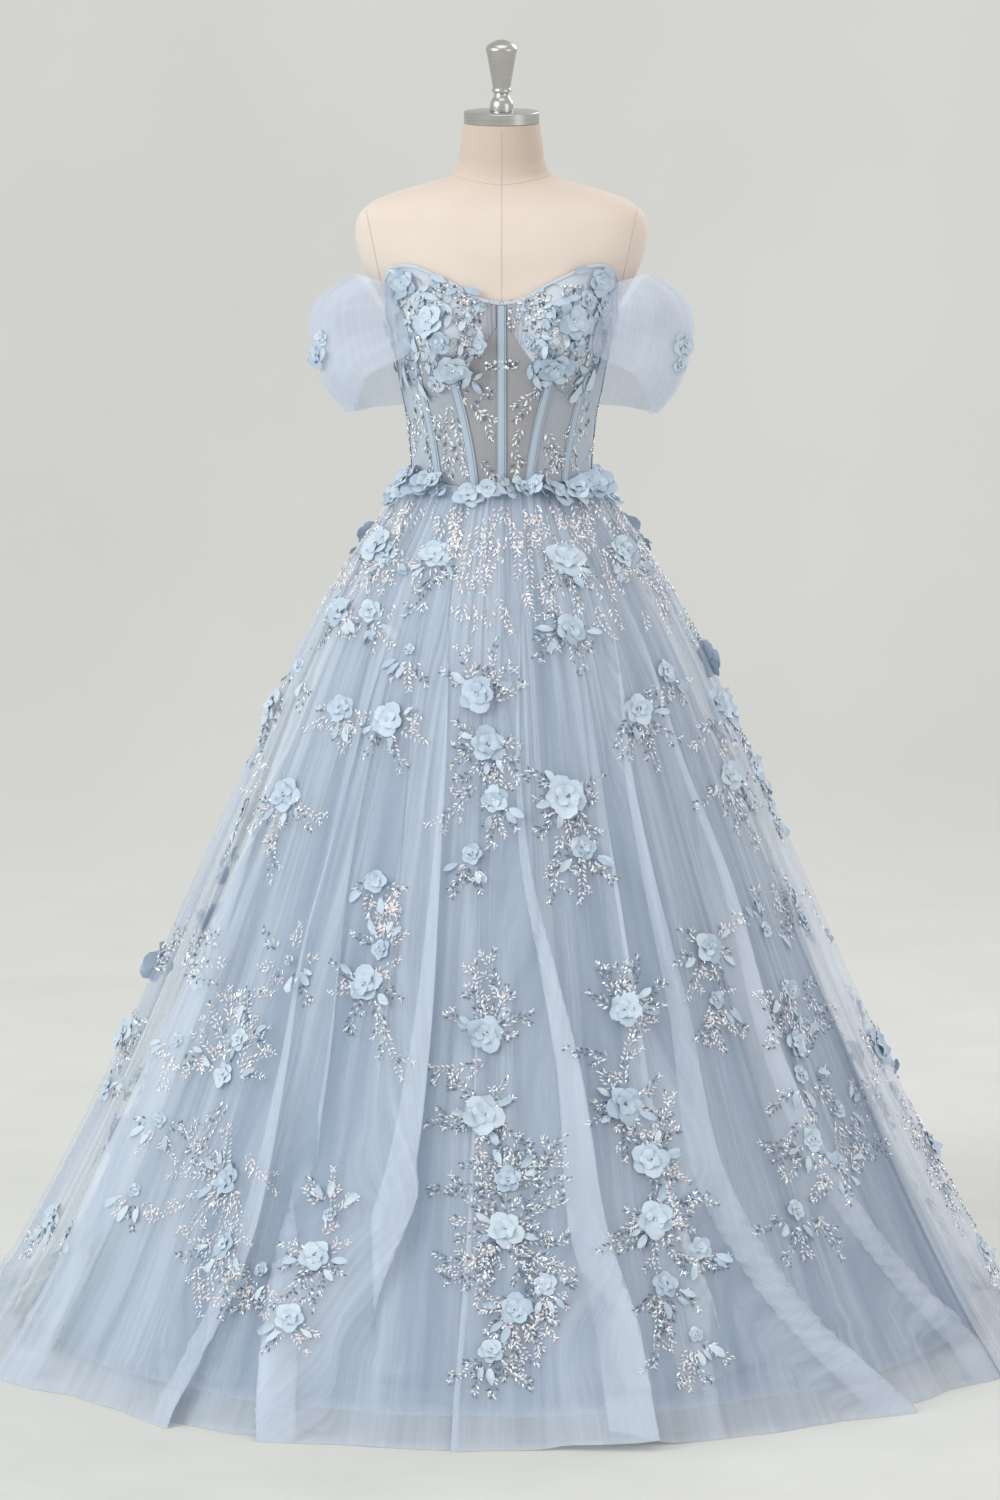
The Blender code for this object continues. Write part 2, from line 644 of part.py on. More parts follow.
def overlay_columns(folds, first_edge, last_edge):
    """(angle, share of the fold's rise, that rise, share of the gather) for each column of one panel."""
    columns = [(first_edge, 0.0, 0.0, 0.0)]
    for i, fold in enumerate(folds):
        for column in FOLD_COLUMNS:
            across = column.across + column.leaning * fold.lean
            columns.append((fold.angle + across * fold.half_width, column.share, fold.rise, 0.0))
        if i + 1 < len(folds):
            columns.append(((fold.angle + folds[i + 1].angle) / 2, 0.0, 0.0, 1.0))
    columns.append((last_edge, 0.0, 0.0, 0.0))
    return columns


def build_overlay(materials, collection):
    names = list(GORES)
    made = {}
    for i, name in enumerate(names):
        folds = GORES[name]
        before = GORES[names[i - 1]][-1].angle
        after = GORES[names[(i + 1) % len(names)]][0].angle
        first_middle = (before - (360 if before > folds[0].angle else 0) + folds[0].angle) / 2
        last_middle = (after + (360 if after < folds[-1].angle else 0) + folds[-1].angle) / 2
        rows = []
        for section in SKIRT_SECTIONS:
            height = min(max(section.height, HEM_CLEARANCE), WAIST_HEIGHT - SEAM_GAP)
            side, _, fold_share, gather = skirt_radii(height)
            half_gap = math.degrees(SEAM_GAP / 2 / side)
            columns = overlay_columns(folds, first_middle + half_gap, last_middle - half_gap)
            row = []
            for angle, share, rise, lift in columns:
                row.append(skirt_point(angle, height, share * rise * fold_share + lift * gather))
            rows.append(row)
        made[name] = cloth(name, rows, TULLE_WALL, materials["tulle"], collection)
    return made


def build_lining(materials, collection):
    for name, middle in LINING_PANELS.items():
        rows = []
        for level in LINING_LEVELS:
            height = min(level, WAIST_HEIGHT - SEAM_GAP)
            side, _, _, _ = skirt_radii(height)
            half_gap = math.degrees(SEAM_GAP / 2 / side)
            away = ease((WAIST_HEIGHT - height) / LINING_FALLS_BACK)
            inward = TULLE_WALL + LAYER_GAP + away * LINING_BEHIND
            angles = np.linspace(middle - 45 + half_gap, middle + 45 - half_gap, LINING_COLUMNS)
            rows.append([skirt_point(a, height, inward=inward) for a in angles])
        cloth(name, rows, TULLE_WALL, materials["satin"], collection)


# ---------------------------------------------------------------- sleeves
def sleeve_point(turn, down):
    """A point of the left sleeve's outside, at a turn round the loop and a share of the way down it."""
    s, c = math.sin(math.radians(turn)), math.cos(math.radians(turn))
    top, bottom = along(SLEEVE_EDGES, turn)
    outward = float(along(SLEEVE_SECTIONS, down)[0])
    gathered = SLEEVE_OUTER_PLEATS + (1 - SLEEVE_OUTER_PLEATS) * abs(s)
    pleats = SLEEVE_PLEAT_RISE * math.cos(2 * math.pi * SLEEVE_PLEATS * down) * gathered
    reach = SLEEVE_REACH * max(c, 0.0) ** SLEEVE_SQUARENESS * outward + pleats * c
    depth = (SLEEVE_HALF_DEPTH * (1 + SLEEVE_PUFF * c * outward) + pleats) * s
    puff = Vector((SLEEVE_INNER_X + reach, SLEEVE_MIDDLE_Y + depth, top + down * (bottom - top)))
    joined = ease((abs(turn) - SLEEVE_JOINS_FROM) / (90 - SLEEVE_JOINS_FROM))
    seam = SLEEVE_FRONT_ANGLE if turn < 0 else SLEEVE_BACK_ANGLE
    sewn = body_point(seam, puff.z, BODICE_OUT + LAYER_GAP + CHANNEL_THICKNESS + TULLE_WALL)
    return puff.lerp(sewn, joined)


def build_sleeves(materials, collection):
    downs = np.linspace(1, 0, SLEEVE_STEPS)
    turns = np.linspace(-90, 90, SLEEVE_TURNS)
    rows = [[sleeve_point(turn, down) for turn in turns] for down in downs]
    cloth("sleeve_left", rows, TULLE_WALL, materials["tulle"], collection)
    other = [[Vector((-p.x, p.y, p.z)) for p in reversed(row)] for row in rows]
    cloth("sleeve_right", other, TULLE_WALL, materials["tulle"], collection)


# ---------------------------------------------------------------- flowers
def flower_mesh(name, bloom):
    """A five-petalled flower of stiff organza that cups away from the cloth, its middle at the origin."""
    made = bmesh.new()
    shares = (FLOWER_NOTCH, 1.0, 1.0) * PETALS
    count = len(shares)
    low_rim, high_rim = [], []
    for i, share in enumerate(shares):
        turn = math.radians(bloom.spin) + 2 * math.pi * i / count
        reach = share * bloom.radius
        lifted = FLOWER_CUP * bloom.radius * share**1.5
        rim_point = Vector((reach * math.cos(turn), reach * math.sin(turn), lifted))
        low_rim.append(made.verts.new(rim_point))
        high_rim.append(made.verts.new(rim_point + Vector((0, 0, FLOWER_THICKNESS))))
    bottom = made.verts.new((0, 0, 0))
    top = made.verts.new((0, 0, FLOWER_HEART))
    for i in range(count):
        j = (i + 1) % count
        made.faces.new((bottom, low_rim[j], low_rim[i]))
        made.faces.new((low_rim[i], low_rim[j], high_rim[j], high_rim[i]))
        made.faces.new((high_rim[i], high_rim[j], top))
    mesh = bpy.data.meshes.new(name)
    bmesh.ops.triangulate(made, faces=made.faces)
    made.to_mesh(mesh)
    made.free()
    return mesh


def facing(normal):
    """A rotation that turns +Z to this direction."""
    return normal.to_track_quat("Z", "Y").to_matrix().to_4x4()


def world_tree(objects):
    """A search tree over the evaluated faces of several objects."""
    graph = bpy.context.evaluated_depsgraph_get()
    points, faces = [], []
    for each in objects:
        mesh = each.evaluated_get(graph).to_mesh()
        start = len(points)
        points += [v.co.copy() for v in mesh.vertices]
        faces += [[start + i for i in p.vertices] for p in mesh.polygons]
        each.evaluated_get(graph).to_mesh_clear()
    return BVHTree.FromPolygons(points, faces)


def surface_below(tree, point, normal):
    """How far the cloth under a point stands towards it, along the normal."""
    reach = 0.06
    hit, _, _, distance = tree.ray_cast(point + normal * reach, -normal, 2 * reach)
    return reach - distance if hit else None


def place_flower(name, bloom, point, normal, tree, materials, collection):
    """A flower as a piece of its own, moved out until it clears what it lies on."""
    mesh = flower_mesh(name, bloom)
    place = Matrix.Translation(point) @ facing(normal)
    spots = [place @ v.co for v in mesh.vertices]
    ends = [(spots[e.vertices[0]], spots[e.vertices[1]]) for e in mesh.edges]
    spots += [start.lerp(end, share) for start, end in ends for share in EDGE_SPOTS]
    heights = [surface_below(tree, spot, normal) for spot in spots]
    lift = max(h for h in heights if h is not None) + FLOWER_GAP
    flower = add_object(name, mesh, materials["organza"], collection)
    flower.matrix_world = Matrix.Translation(normal * lift) @ place


def build_loose_flowers(materials, collection):
    """Flowers over seams and gathers: one node each."""
    bpy.context.view_layer.update()
    hidden = FORM_PIECES + tuple(LINING_PANELS)
    tree = world_tree([each for each in collection.objects if each.name not in hidden])
    for i, bloom in enumerate(BODICE_FLOWERS, 1):
        angle, height = bloom.angle, bloom.height
        point = body_point(angle, height, BODICE_OUT)
        onward = body_point(angle + 1, height) - body_point(angle - 1, height)
        upward = body_point(angle, height + SLOPE_STEP) - body_point(angle, height - SLOPE_STEP)
        normal = onward.cross(upward).normalized()
        place_flower(f"bodice_flower_{i}", bloom, point, normal, tree, materials, collection)
    for i, bloom in enumerate(WAIST_FLOWERS, 1):
        point = skirt_point(bloom.angle, bloom.height)
        outwards = Vector((point.x, point.y, 0)).normalized()
        normal = (outwards + Vector((0, 0, WAIST_FLOWER_TILT))).normalized()
        place_flower(f"waist_flower_{i}", bloom, point, normal, tree, materials, collection)
    point = sleeve_point(SLEEVE_FLOWER_TURN, SLEEVE_FLOWER_DOWN)
    onward = sleeve_point(SLEEVE_FLOWER_TURN + 5, SLEEVE_FLOWER_DOWN) - point
    upward = sleeve_point(SLEEVE_FLOWER_TURN, SLEEVE_FLOWER_DOWN - 0.05) - point
    normal = onward.cross(upward).normalized()
    for word, side in (("left", 1), ("right", -1)):
        bloom = Bloom(0, 0, SLEEVE_FLOWER_RADIUS, SLEEVE_FLOWER_SPIN * side)
        spot = point * Vector((side, 1, 1))
        facing_out = normal * Vector((side, 1, 1))
        place_flower(f"sleeve_flower_{word}", bloom, spot, facing_out, tree, materials, collection)


def sew_skirt_flowers(gores, cutters):
    """Flowers that lie within one overlay panel are joined to its outside."""
    for name, gore in gores.items():
        tree = world_tree([gore])
        low = GORES[name][0].angle - GORES[name][0].half_width
        high = GORES[name][-1].angle + GORES[name][-1].half_width
        found = [b for b in SKIRT_FLOWERS if low < b.angle < high or low < b.angle + 360 < high]
        for i, bloom in enumerate(found):
            outwards = skirt_point(bloom.angle, bloom.height, rise=2 * DEEPEST_FOLD)
            inwards = skirt_point(bloom.angle, bloom.height, inward=LINING_BEHIND)
            hit, normal, _, _ = tree.ray_cast(outwards, (inwards - outwards).normalized())
            if normal.dot(outwards) < 0:
                normal = -normal
            mesh = flower_mesh(f"{name}_flower_{i}", bloom)
            flower = bpy.data.objects.new(mesh.name, mesh)
            flower.matrix_world = Matrix.Translation(hit - normal * SEWN_DEPTH) @ facing(normal)
            flower.hide_render = True
            flower.display_type = "WIRE"
            cutters.objects.link(flower)
            join = gore.modifiers.new(mesh.name, "BOOLEAN")
            join.operation = "UNION"
            join.solver = "EXACT"
            join.object = flower


def group(name, pieces, collection):
    """An empty on the origin that carries these pieces."""
    carrier = bpy.data.objects.new(name, None)
    carrier.empty_display_size = STAND_BASE_RADIUS
    collection.objects.link(carrier)
    for piece in pieces:
        piece.parent = carrier


def main():
    for old in list(bpy.data.objects):
        bpy.data.objects.remove(old)
    collection = bpy.data.collections.new("prom_dress_on_dress_form")
    helpers = bpy.data.collections.new("flowers_joined_to_the_overlay")
    bpy.context.scene.collection.children.link(collection)
    bpy.context.scene.collection.children.link(helpers)
    materials = make_materials()
    build_form(materials, collection)
    build_stand(materials, collection)
    build_neck_cap(materials, collection)
    build_bodice(materials, collection)
    build_channels(materials, collection)
    build_binding(materials, collection)
    build_sleeves(materials, collection)
    build_lining(materials, collection)
    gores = build_overlay(materials, collection)
    build_loose_flowers(materials, collection)
    sew_skirt_flowers(gores, helpers)
    stand = [each for each in collection.objects if each.name in FORM_PIECES]
    dress = [each for each in collection.objects if each.name not in FORM_PIECES]
    group("dress_form", stand, collection)
    group("dress", dress, collection)


main()
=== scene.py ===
"""A pale blue a-line prom dress of tulle on a limbless dress form.

The CAD frame gives every piece its place. Each section below makes one piece, or one group of
like pieces, in the order in which the real thing is put together. Metres, +Z up, front to -Y.
"""

import math
import random

import bpy
import numpy as np
from mathutils import Euler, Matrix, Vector
from mathutils.bvhtree import BVHTree


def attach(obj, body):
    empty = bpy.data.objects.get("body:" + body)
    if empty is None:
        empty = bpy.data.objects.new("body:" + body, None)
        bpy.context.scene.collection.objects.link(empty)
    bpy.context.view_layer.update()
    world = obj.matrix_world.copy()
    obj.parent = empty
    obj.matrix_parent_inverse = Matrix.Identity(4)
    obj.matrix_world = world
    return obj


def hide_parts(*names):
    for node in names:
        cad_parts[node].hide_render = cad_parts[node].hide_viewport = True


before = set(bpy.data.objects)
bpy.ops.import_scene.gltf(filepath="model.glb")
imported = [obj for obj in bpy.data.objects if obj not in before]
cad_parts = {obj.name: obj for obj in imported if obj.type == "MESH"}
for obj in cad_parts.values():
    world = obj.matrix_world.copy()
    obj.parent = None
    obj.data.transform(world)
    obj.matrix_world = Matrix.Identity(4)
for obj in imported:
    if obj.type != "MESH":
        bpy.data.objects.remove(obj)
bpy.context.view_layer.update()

# ---------------------------------------------------------------- studio
# A pale matt floor that thins out into the even light of a white room. One large soft light
# stands high on the left, a weaker one on the right, one above and one behind.
PHOTO_WIDTH, PHOTO_HEIGHT = 1000, 1500
SENSOR = 36.0
LENS = 213.7
CAMERA_PLACE = Vector((-0.002, -11.4, 2.65))
CAMERA_TILT = math.radians(90 - 9.4)


def shade(colour):
    """An sRGB hex colour as linear values."""
    parts = [int(colour[i : i + 2], 16) / 255 for i in (1, 3, 5)]
    return (*[p / 12.92 if p <= 0.04045 else ((p + 0.055) / 1.055) ** 2.4 for p in parts], 1.0)


def feed(node, inputs):
    """Gives inputs of a node their values; another node or its socket is linked to the input."""
    for socket, value in inputs.items():
        if isinstance(value, bpy.types.Node):
            value = next(output for output in value.outputs if output.enabled)
        if isinstance(value, bpy.types.NodeSocket):
            node.id_data.links.new(value, node.inputs[socket])
        else:
            node.inputs[socket].default_value = value
    return node


def add(tree, kind, inputs=None, **settings):
    """Adds one node with its settings, values and links."""
    made = tree.nodes.new("ShaderNode" + kind)
    for name, value in settings.items():
        setattr(made, name, value)
    return feed(made, inputs or {})


def finish(name, **sockets):
    """A new material with its own shader, whose sockets are set here; spaces are written as _."""
    material = bpy.data.materials.new(name)
    material.use_nodes = True
    shader = material.node_tree.nodes["Principled BSDF"]
    feed(shader, {socket.replace("_", " "): value for socket, value in sockets.items()})
    return material, material.node_tree, shader


camera = bpy.data.objects.new("camera", bpy.data.cameras.new("camera"))
bpy.context.collection.objects.link(camera)
camera.location = CAMERA_PLACE
camera.rotation_euler = (CAMERA_TILT, 0, 0)
camera.data.lens = LENS
camera.data.sensor_width = SENSOR
camera.data.clip_end = 100
bpy.context.scene.camera = camera
bpy.context.scene.view_settings.view_transform = "Standard"
bpy.context.scene.cycles.transparent_max_bounces = 24  # sight passes through many folds of tulle

# matt emulsion on screed: large faint trowel marks, and no edge where the floor runs out
FLOOR_WHOLE, FLOOR_REACH = 1.5, 4.6
screed, tree, shader = finish("painted_screed", Roughness=0.95, Specular_IOR_Level=0.15)
spot = add(tree, "NewGeometry")
trowel = add(tree, "TexNoise", {"Vector": spot, "Scale": 3.5, "Detail": 6.0, "Roughness": 0.6})
trowel = add(tree, "MapRange", {"Value": trowel, "From Min": 0.35, "From Max": 0.65})
screed_colour = add(tree, "Mix", {0: trowel, 6: shade("#d6d6d2"), 7: shade("#dcdcd8")}, data_type="RGBA")
reach = add(tree, "VectorMath", {0: spot}, operation="LENGTH")
thin = {"Value": reach, "From Min": FLOOR_WHOLE, "From Max": FLOOR_REACH, "To Min": 1.0, "To Max": 0.0}
thin = add(tree, "MapRange", thin, interpolation_type="SMOOTHSTEP")
feed(shader, {"Base Color": screed_colour, "Alpha": thin})
rim_turns = np.linspace(0, 2 * math.pi, 97)[:-1]
rim = [(FLOOR_REACH * math.sin(a), FLOOR_REACH * math.cos(a), 0.0) for a in rim_turns]
disc = bpy.data.meshes.new("studio_floor")
disc.from_pydata(rim, [], [tuple(range(len(rim)))[::-1]])
disc.materials.append(screed)
studio_floor = bpy.data.objects.new("studio_floor", disc)
bpy.context.collection.objects.link(studio_floor)

LIGHTS = (  # name, place, aim, size, watts, colour
    ("key", (-5.8, -4.2, 4.0), (0, 0, 0.9), 3.6, 268, "#f0f8ff"),
    ("fill", (5.6, -4.2, 2.6), (0, 0, 0.8), 3.4, 58, "#efeaff"),
    ("overhead", (0, -1.5, 6.5), (0, 0.4, 0.8), 4.0, 66, "#fffaf4"),
    ("behind", (4.0, 5.6, 3.8), (0, 0, 0.8), 3.4, 150, "#f6f6ff"),
)
for name, place, aim, size, watts, colour in LIGHTS:
    lamp = bpy.data.lights.new(name, "AREA")
    lamp.energy, lamp.size, lamp.color = watts, size, shade(colour)[:3]
    light = bpy.data.objects.new(name, lamp)
    light.location = place
    light.rotation_euler = (Vector(aim) - Vector(place)).to_track_quat("-Z", "Y").to_euler()
    bpy.context.collection.objects.link(light)
world = bpy.data.worlds.new("room")
world.use_nodes = True
room = world.node_tree
look = add(room, "TexCoord")
patches = add(room, "TexNoise", {"Vector": look, "Scale": 9.0, "Detail": 5.0, "Roughness": 0.55})
patches = add(room, "MapRange", {"Value": patches, "From Min": 0.35, "From Max": 0.65})
room_colour = add(room, "Mix", {0: patches, 6: shade("#d0d1cd"), 7: shade("#d8d9d5")}, data_type="RGBA")
feed(room.nodes["Background"], {"Color": room_colour, "Strength": 1.0})
bpy.context.scene.world = world

# ---------------------------------------------------------------- dress form
# A papier-mache and foam torso without limbs, covered in ivory jersey that is stretched over
# it and seamed down the front, round the neck and round the plates that close the arms.
FORM = np.array(  # height, half width, front, back, squareness
    (
        (0.800, 0.152, 0.095, 0.110, 2.2), (0.870, 0.166, 0.101, 0.122, 2.2),
        (0.945, 0.163, 0.101, 0.121, 2.1), (1.030, 0.138, 0.095, 0.104, 2.0),
        (1.085, 0.118, 0.088, 0.091, 2.0), (1.110, 0.113, 0.086, 0.087, 2.0),
        (1.135, 0.112, 0.086, 0.086, 2.0), (1.165, 0.114, 0.087, 0.088, 2.0),
        (1.200, 0.118, 0.088, 0.093, 2.05), (1.235, 0.125, 0.089, 0.098, 2.1),
        (1.262, 0.130, 0.090, 0.102, 2.15), (1.290, 0.135, 0.090, 0.104, 2.2),
        (1.318, 0.142, 0.090, 0.107, 2.2), (1.342, 0.151, 0.090, 0.109, 2.2),
        (1.366, 0.1635, 0.089, 0.109, 2.2), (1.390, 0.1765, 0.088, 0.109, 2.2),
        (1.415, 0.185, 0.086, 0.106, 2.2), (1.440, 0.188, 0.080, 0.100, 2.2),
        (1.462, 0.182, 0.073, 0.093, 2.2), (1.477, 0.165, 0.067, 0.087, 2.2),
        (1.489, 0.134, 0.062, 0.081, 2.2), (1.499, 0.100, 0.057, 0.075, 2.1),
        (1.509, 0.069, 0.053, 0.068, 2.0), (1.524, 0.058, 0.051, 0.060, 2.0),
        (1.550, 0.053, 0.050, 0.053, 2.0), (1.578, 0.049, 0.049, 0.049, 2.0),
    )
)
BUST_HEIGHT, BUST_OUT, BUST_SPREAD = 1.308, 0.080, 0.044
FORM_RISE, CUP_RISE = 0.036, 0.043


def sine(degrees):
    return np.sin(np.radians(degrees))


def cosine(degrees):
    return np.cos(np.radians(degrees))


def along(table, places):
    """The columns of a table at places along its first column, on a smooth curve."""
    rows = np.array(table, float)
    at, values = rows[:, 0], rows[:, 1:]
    places = np.clip(np.asarray(places, float), at[0], at[-1])
    i = np.clip(np.searchsorted(at, places, side="right") - 1, 0, len(at) - 2)
    slopes = np.gradient(values, at, axis=0)
    span = (at[i + 1] - at[i])[..., None]
    t = (places - at[i])[..., None] / span
    path = values[i] + t * t * (3 - 2 * t) * (values[i + 1] - values[i])
    return path + t * (1 - t) ** 2 * span * slopes[i] + t * t * (t - 1) * span * slopes[i + 1]


def body(angle, height, out=0.0, full_rise=CUP_RISE):
    """Points of the body at these angles and heights, moved out of it."""
    angle, height = np.broadcast_arrays(np.radians(np.asarray(angle, float)), np.asarray(height, float))
    half, front, back, square = np.moveaxis(along(FORM, height), -1, 0)
    s, c = np.sin(angle), np.cos(angle)
    x = (half + out) * np.sign(s) * np.abs(s) ** (2 / square)
    y = -(np.where(c > 0, front, back) + out) * np.sign(c) * np.abs(c) ** (2 / square)
    reach = np.where(height > BUST_HEIGHT, 0.058, 0.042)
    bust = np.exp(-(((np.abs(x) - BUST_OUT) / BUST_SPREAD) ** 2) - ((height - BUST_HEIGHT) / reach) ** 2)
    return np.stack([x, y - full_rise * bust * np.maximum(c, 0) ** 0.6, height], -1)


def piece_of(name, verts, faces, materials, smooth=True):
    """A piece of these points and faces, which rides on the root body."""
    mesh = bpy.data.meshes.new(name)
    mesh.from_pydata([tuple(vert) for vert in verts], [], faces)
    for material in materials:
        mesh.materials.append(material)
    if smooth:
        mesh.shade_smooth()
    made = bpy.data.objects.new(name, mesh)
    bpy.context.collection.objects.link(made)
    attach(made, "root")
    return made


def woven(name, grid, material):
    """A surface through a grid of points, its rows running up. Its UVs are its own lengths in metres."""
    grid = np.asarray(grid, float)
    rows, columns = grid.shape[:2]
    across = np.linalg.norm(np.diff(grid, axis=1), axis=2).mean(0)
    upward = np.linalg.norm(np.diff(grid, axis=0), axis=2).mean(1)
    lengths = np.meshgrid(*[np.concatenate([[0], np.cumsum(steps)]) for steps in (across, upward)])
    first = (np.arange(rows - 1)[:, None] * columns + np.arange(columns - 1)).ravel()
    quads = np.stack([first, first + 1, first + columns + 1, first + columns], 1)
    made = piece_of(name, grid.reshape(-1, 3).tolist(), quads.tolist(), [material])
    places = np.stack(lengths, -1).reshape(-1, 2)[quads.ravel()]
    made.data.uv_layers.new(name="cloth").data.foreach_set("uv", places.astype(np.float32).ravel())
    return made


def tube(name, paths, radius, material, sides=6):
    """One mesh of round threads, each along a row of points."""
    verts, faces = [], []
    for path in paths:
        path = np.asarray(path, float)
        ahead = np.gradient(path, axis=0)
        ahead /= np.linalg.norm(ahead, axis=1)[:, None] + 1e-12
        level = np.cross(ahead, (0.13, 0.31, 0.94))
        level /= np.linalg.norm(level, axis=1)[:, None] + 1e-12
        upright = np.cross(ahead, level)
        start = len(verts)
        for k in range(len(path)):
            for j in range(sides):
                a = 2 * math.pi * j / sides
                verts.append(path[k] + radius * (level[k] * math.cos(a) + upright[k] * math.sin(a)))
        for k in range(len(path) - 1):
            for j in range(sides):
                a, b = start + k * sides + j, start + k * sides + (j + 1) % sides
                faces.append((a, b, b + sides, a + sides))
    return piece_of(name, verts, faces, [material])


# ivory cotton jersey: matt with a faint nap; knit rows of 1.2 mm, drawn at 3 mm so that they show
jersey, tree, shader = finish(
    "ivory_jersey", Roughness=0.88, Sheen_Weight=0.25, Sheen_Roughness=0.5, Specular_IOR_Level=0.25
)
spot = add(tree, "NewGeometry")
mottle = add(tree, "TexNoise", {"Vector": spot, "Scale": 14.0, "Detail": 5.0})
cover = add(tree, "Mix", {0: mottle, 6: shade("#dfcfc3"), 7: shade("#e8dacf")}, data_type="RGBA")
level = add(tree, "SeparateXYZ", {"Vector": spot}).outputs["Z"]
# painted shade: the jersey turns darker up the neck, standing in for the shade under the cap
neck_shade = add(tree, "MapRange", {"Value": level, "From Min": 1.47, "From Max": 1.53})
cover = add(tree, "Mix", {0: neck_shade, 6: cover, 7: shade("#cfbeb0")}, data_type="RGBA")
knit = add(tree, "TexWave", {"Vector": spot, "Scale": 105.0, "Distortion": 3.0}, bands_direction="Z")
nap = add(tree, "Bump", {"Height": knit.outputs["Fac"], "Strength": 0.12, "Distance": 0.0004})
feed(shader, {"Base Color": cover, "Normal": nap})

heights = np.concatenate([np.arange(0.800, 1.46, 0.008), np.arange(1.46, 1.578, 0.003), [1.578]])
turns = np.linspace(-180, 180, 97)
padding = 0.0014 * np.clip(1.6 - np.abs(heights - 1.135) / 0.04, 0, 1)[:, None]
form_grid = body(turns[None, :], heights[:, None], padding, FORM_RISE)
closed_top = np.array([form_grid[-1] * (s, s, 1) for s in (0.5, 0.01)])
closed_foot = np.array([form_grid[0] * (s, s, 1) for s in (0.01, 0.5)])
torso = woven("form_torso_cover", np.concatenate([closed_foot, form_grid, closed_top]), jersey)
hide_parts("form_torso")

# spun cotton thread: matt, its twist drawn as fine light and dark ticks
seam_thread, tree, shader = finish("jersey_seam", Roughness=0.9)
spot = add(tree, "NewGeometry")
ticks = add(tree, "TexNoise", {"Vector": spot, "Scale": 900.0})
thread = add(tree, "Mix", {0: ticks, 6: shade("#c3ad9c"), 7: shade("#dccbbd")}, data_type="RGBA")
feed(shader, {"Base Color": thread})
levels = np.arange(0.802, 1.575, 0.006)
seams = [body(a, levels, 0.0001, FORM_RISE) for a in (0, 180)]
ring = np.linspace(-180, 180, 73)
seams.append(body(ring, 1.5035 + 0.009 * np.abs(sine(ring)), 0.0001, FORM_RISE))
for side in (-1, 1):
    front, back = [], []
    for level in np.arange(1.335, 1.476, 0.004):
        half, _, _, square = along(FORM, level)
        plane = 0.157 + 0.21 * (level - 1.390)
        if plane < half:
            turn = math.degrees(math.asin((plane / half) ** (square / 2)))
            front.append(body(side * turn, level, 0.0002, FORM_RISE))
            back.append(body(side * (180 - turn), level, 0.0002, FORM_RISE))
    seams.append(np.array(front + back[::-1] + front[:1]))
tube("form_seams", seams, 0.0004, seam_thread)

# ---------------------------------------------------------------- neck cap and finial
# A turned steel disc screwed on the neck, with a turned steel knob. Both are brushed on the
# lathe and keep fine rings, with a thin bright bevel at each edge.
brushed, tree, shader = finish("lathe_brushed_steel", Metallic=1.0, Anisotropic=0.6)
spot = add(tree, "NewGeometry")
rings = add(tree, "Mapping", {"Vector": spot, "Scale": (6.0, 6.0, 900.0)})
rings = add(tree, "TexNoise", {"Vector": rings, "Scale": 1.0, "Detail": 3.0})
steel = add(tree, "Mix", {0: rings, 6: shade("#a9a7a3"), 7: shade("#d6d4d0")}, data_type="RGBA")
gloss = add(tree, "MapRange", {"Value": rings, "To Min": 0.18, "To Max": 0.36})
scratch = add(tree, "Bump", {"Height": rings, "Strength": 0.08, "Distance": 0.0002})
feed(shader, {"Base Color": steel, "Roughness": gloss, "Normal": scratch})


def turned(name, outline, base, material, node):
    """A lathe-turned piece; its outline is radius and height, from the foot up."""
    outline = np.array(outline)
    a = np.linspace(-math.pi, math.pi, 97)
    grid = np.stack(
        [
            outline[:, :1] * np.sin(a),
            -outline[:, :1] * np.cos(a),
            np.broadcast_to(base + outline[:, 1:], (len(outline), len(a))),
        ],
        -1,
    )
    made = woven(name, grid, material)
    made.data.set_sharp_from_angle(angle=math.radians(32))
    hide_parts(node)
    return made


FORM_TOP, CAP_THICK = 1.5783, 0.0148
CAP = ((1e-5, 0), (0.0476, 0), (0.0484, 0.0008), (0.0484, 0.0138), (0.0478, 0.0146), (0.0474, CAP_THICK))
CAP += ((1e-5, CAP_THICK),)
turned("neck_cap_disc", CAP, FORM_TOP, brushed, "neck_cap")
KNOB = (
    (0.0150, 0.000), (0.0150, 0.007), (0.0142, 0.012), (0.0118, 0.0160), (0.0098, 0.019), (0.0094, 0.023),
    (0.0122, 0.0245), (0.0124, 0.0265), (0.0122, 0.028), (0.0112, 0.030), (0.0130, 0.041), (0.0150, 0.052),
    (0.0171, 0.064), (0.0188, 0.074), (0.0198, 0.0765), (0.0202, 0.0785), (0.0198, 0.0810), (0.0182, 0.0840),
    (0.0140, 0.0872), (0.0095, 0.0895), (0.0050, 0.0912), (1e-5, 0.0918),
)
turned("finial_knob", KNOB, FORM_TOP + CAP_THICK + 0.0003, brushed, "finial")

# ---------------------------------------------------------------- stand
# A steel tube that stands in a heavy round steel foot and carries the form on a flange. Both
# are powder coated light grey, with the fine orange peel of that paint. The skirt hides them.
coated, tree, shader = finish("powder_coated_steel", Roughness=0.55)
spot = add(tree, "NewGeometry")
peel = add(tree, "TexNoise", {"Vector": spot, "Scale": 600.0, "Detail": 2.0})
paint = add(tree, "Mix", {0: peel, 6: shade("#b3b3b1"), 7: shade("#bfbfbd")}, data_type="RGBA")
orange = add(tree, "Bump", {"Height": peel, "Strength": 0.1, "Distance": 0.0003})
feed(shader, {"Base Color": paint, "Normal": orange})
FOOT = ((1e-5, 0), (0.1645, 0), (0.165, 0.001), (0.165, 0.005), (0.153, 0.008), (0.030, 0.0125))
FOOT += ((0.026, 0.0145), (0.026, 0.033), (0.025, 0.034), (1e-5, 0.034))
turned("stand_foot", FOOT, 0.0, coated, "stand_base")
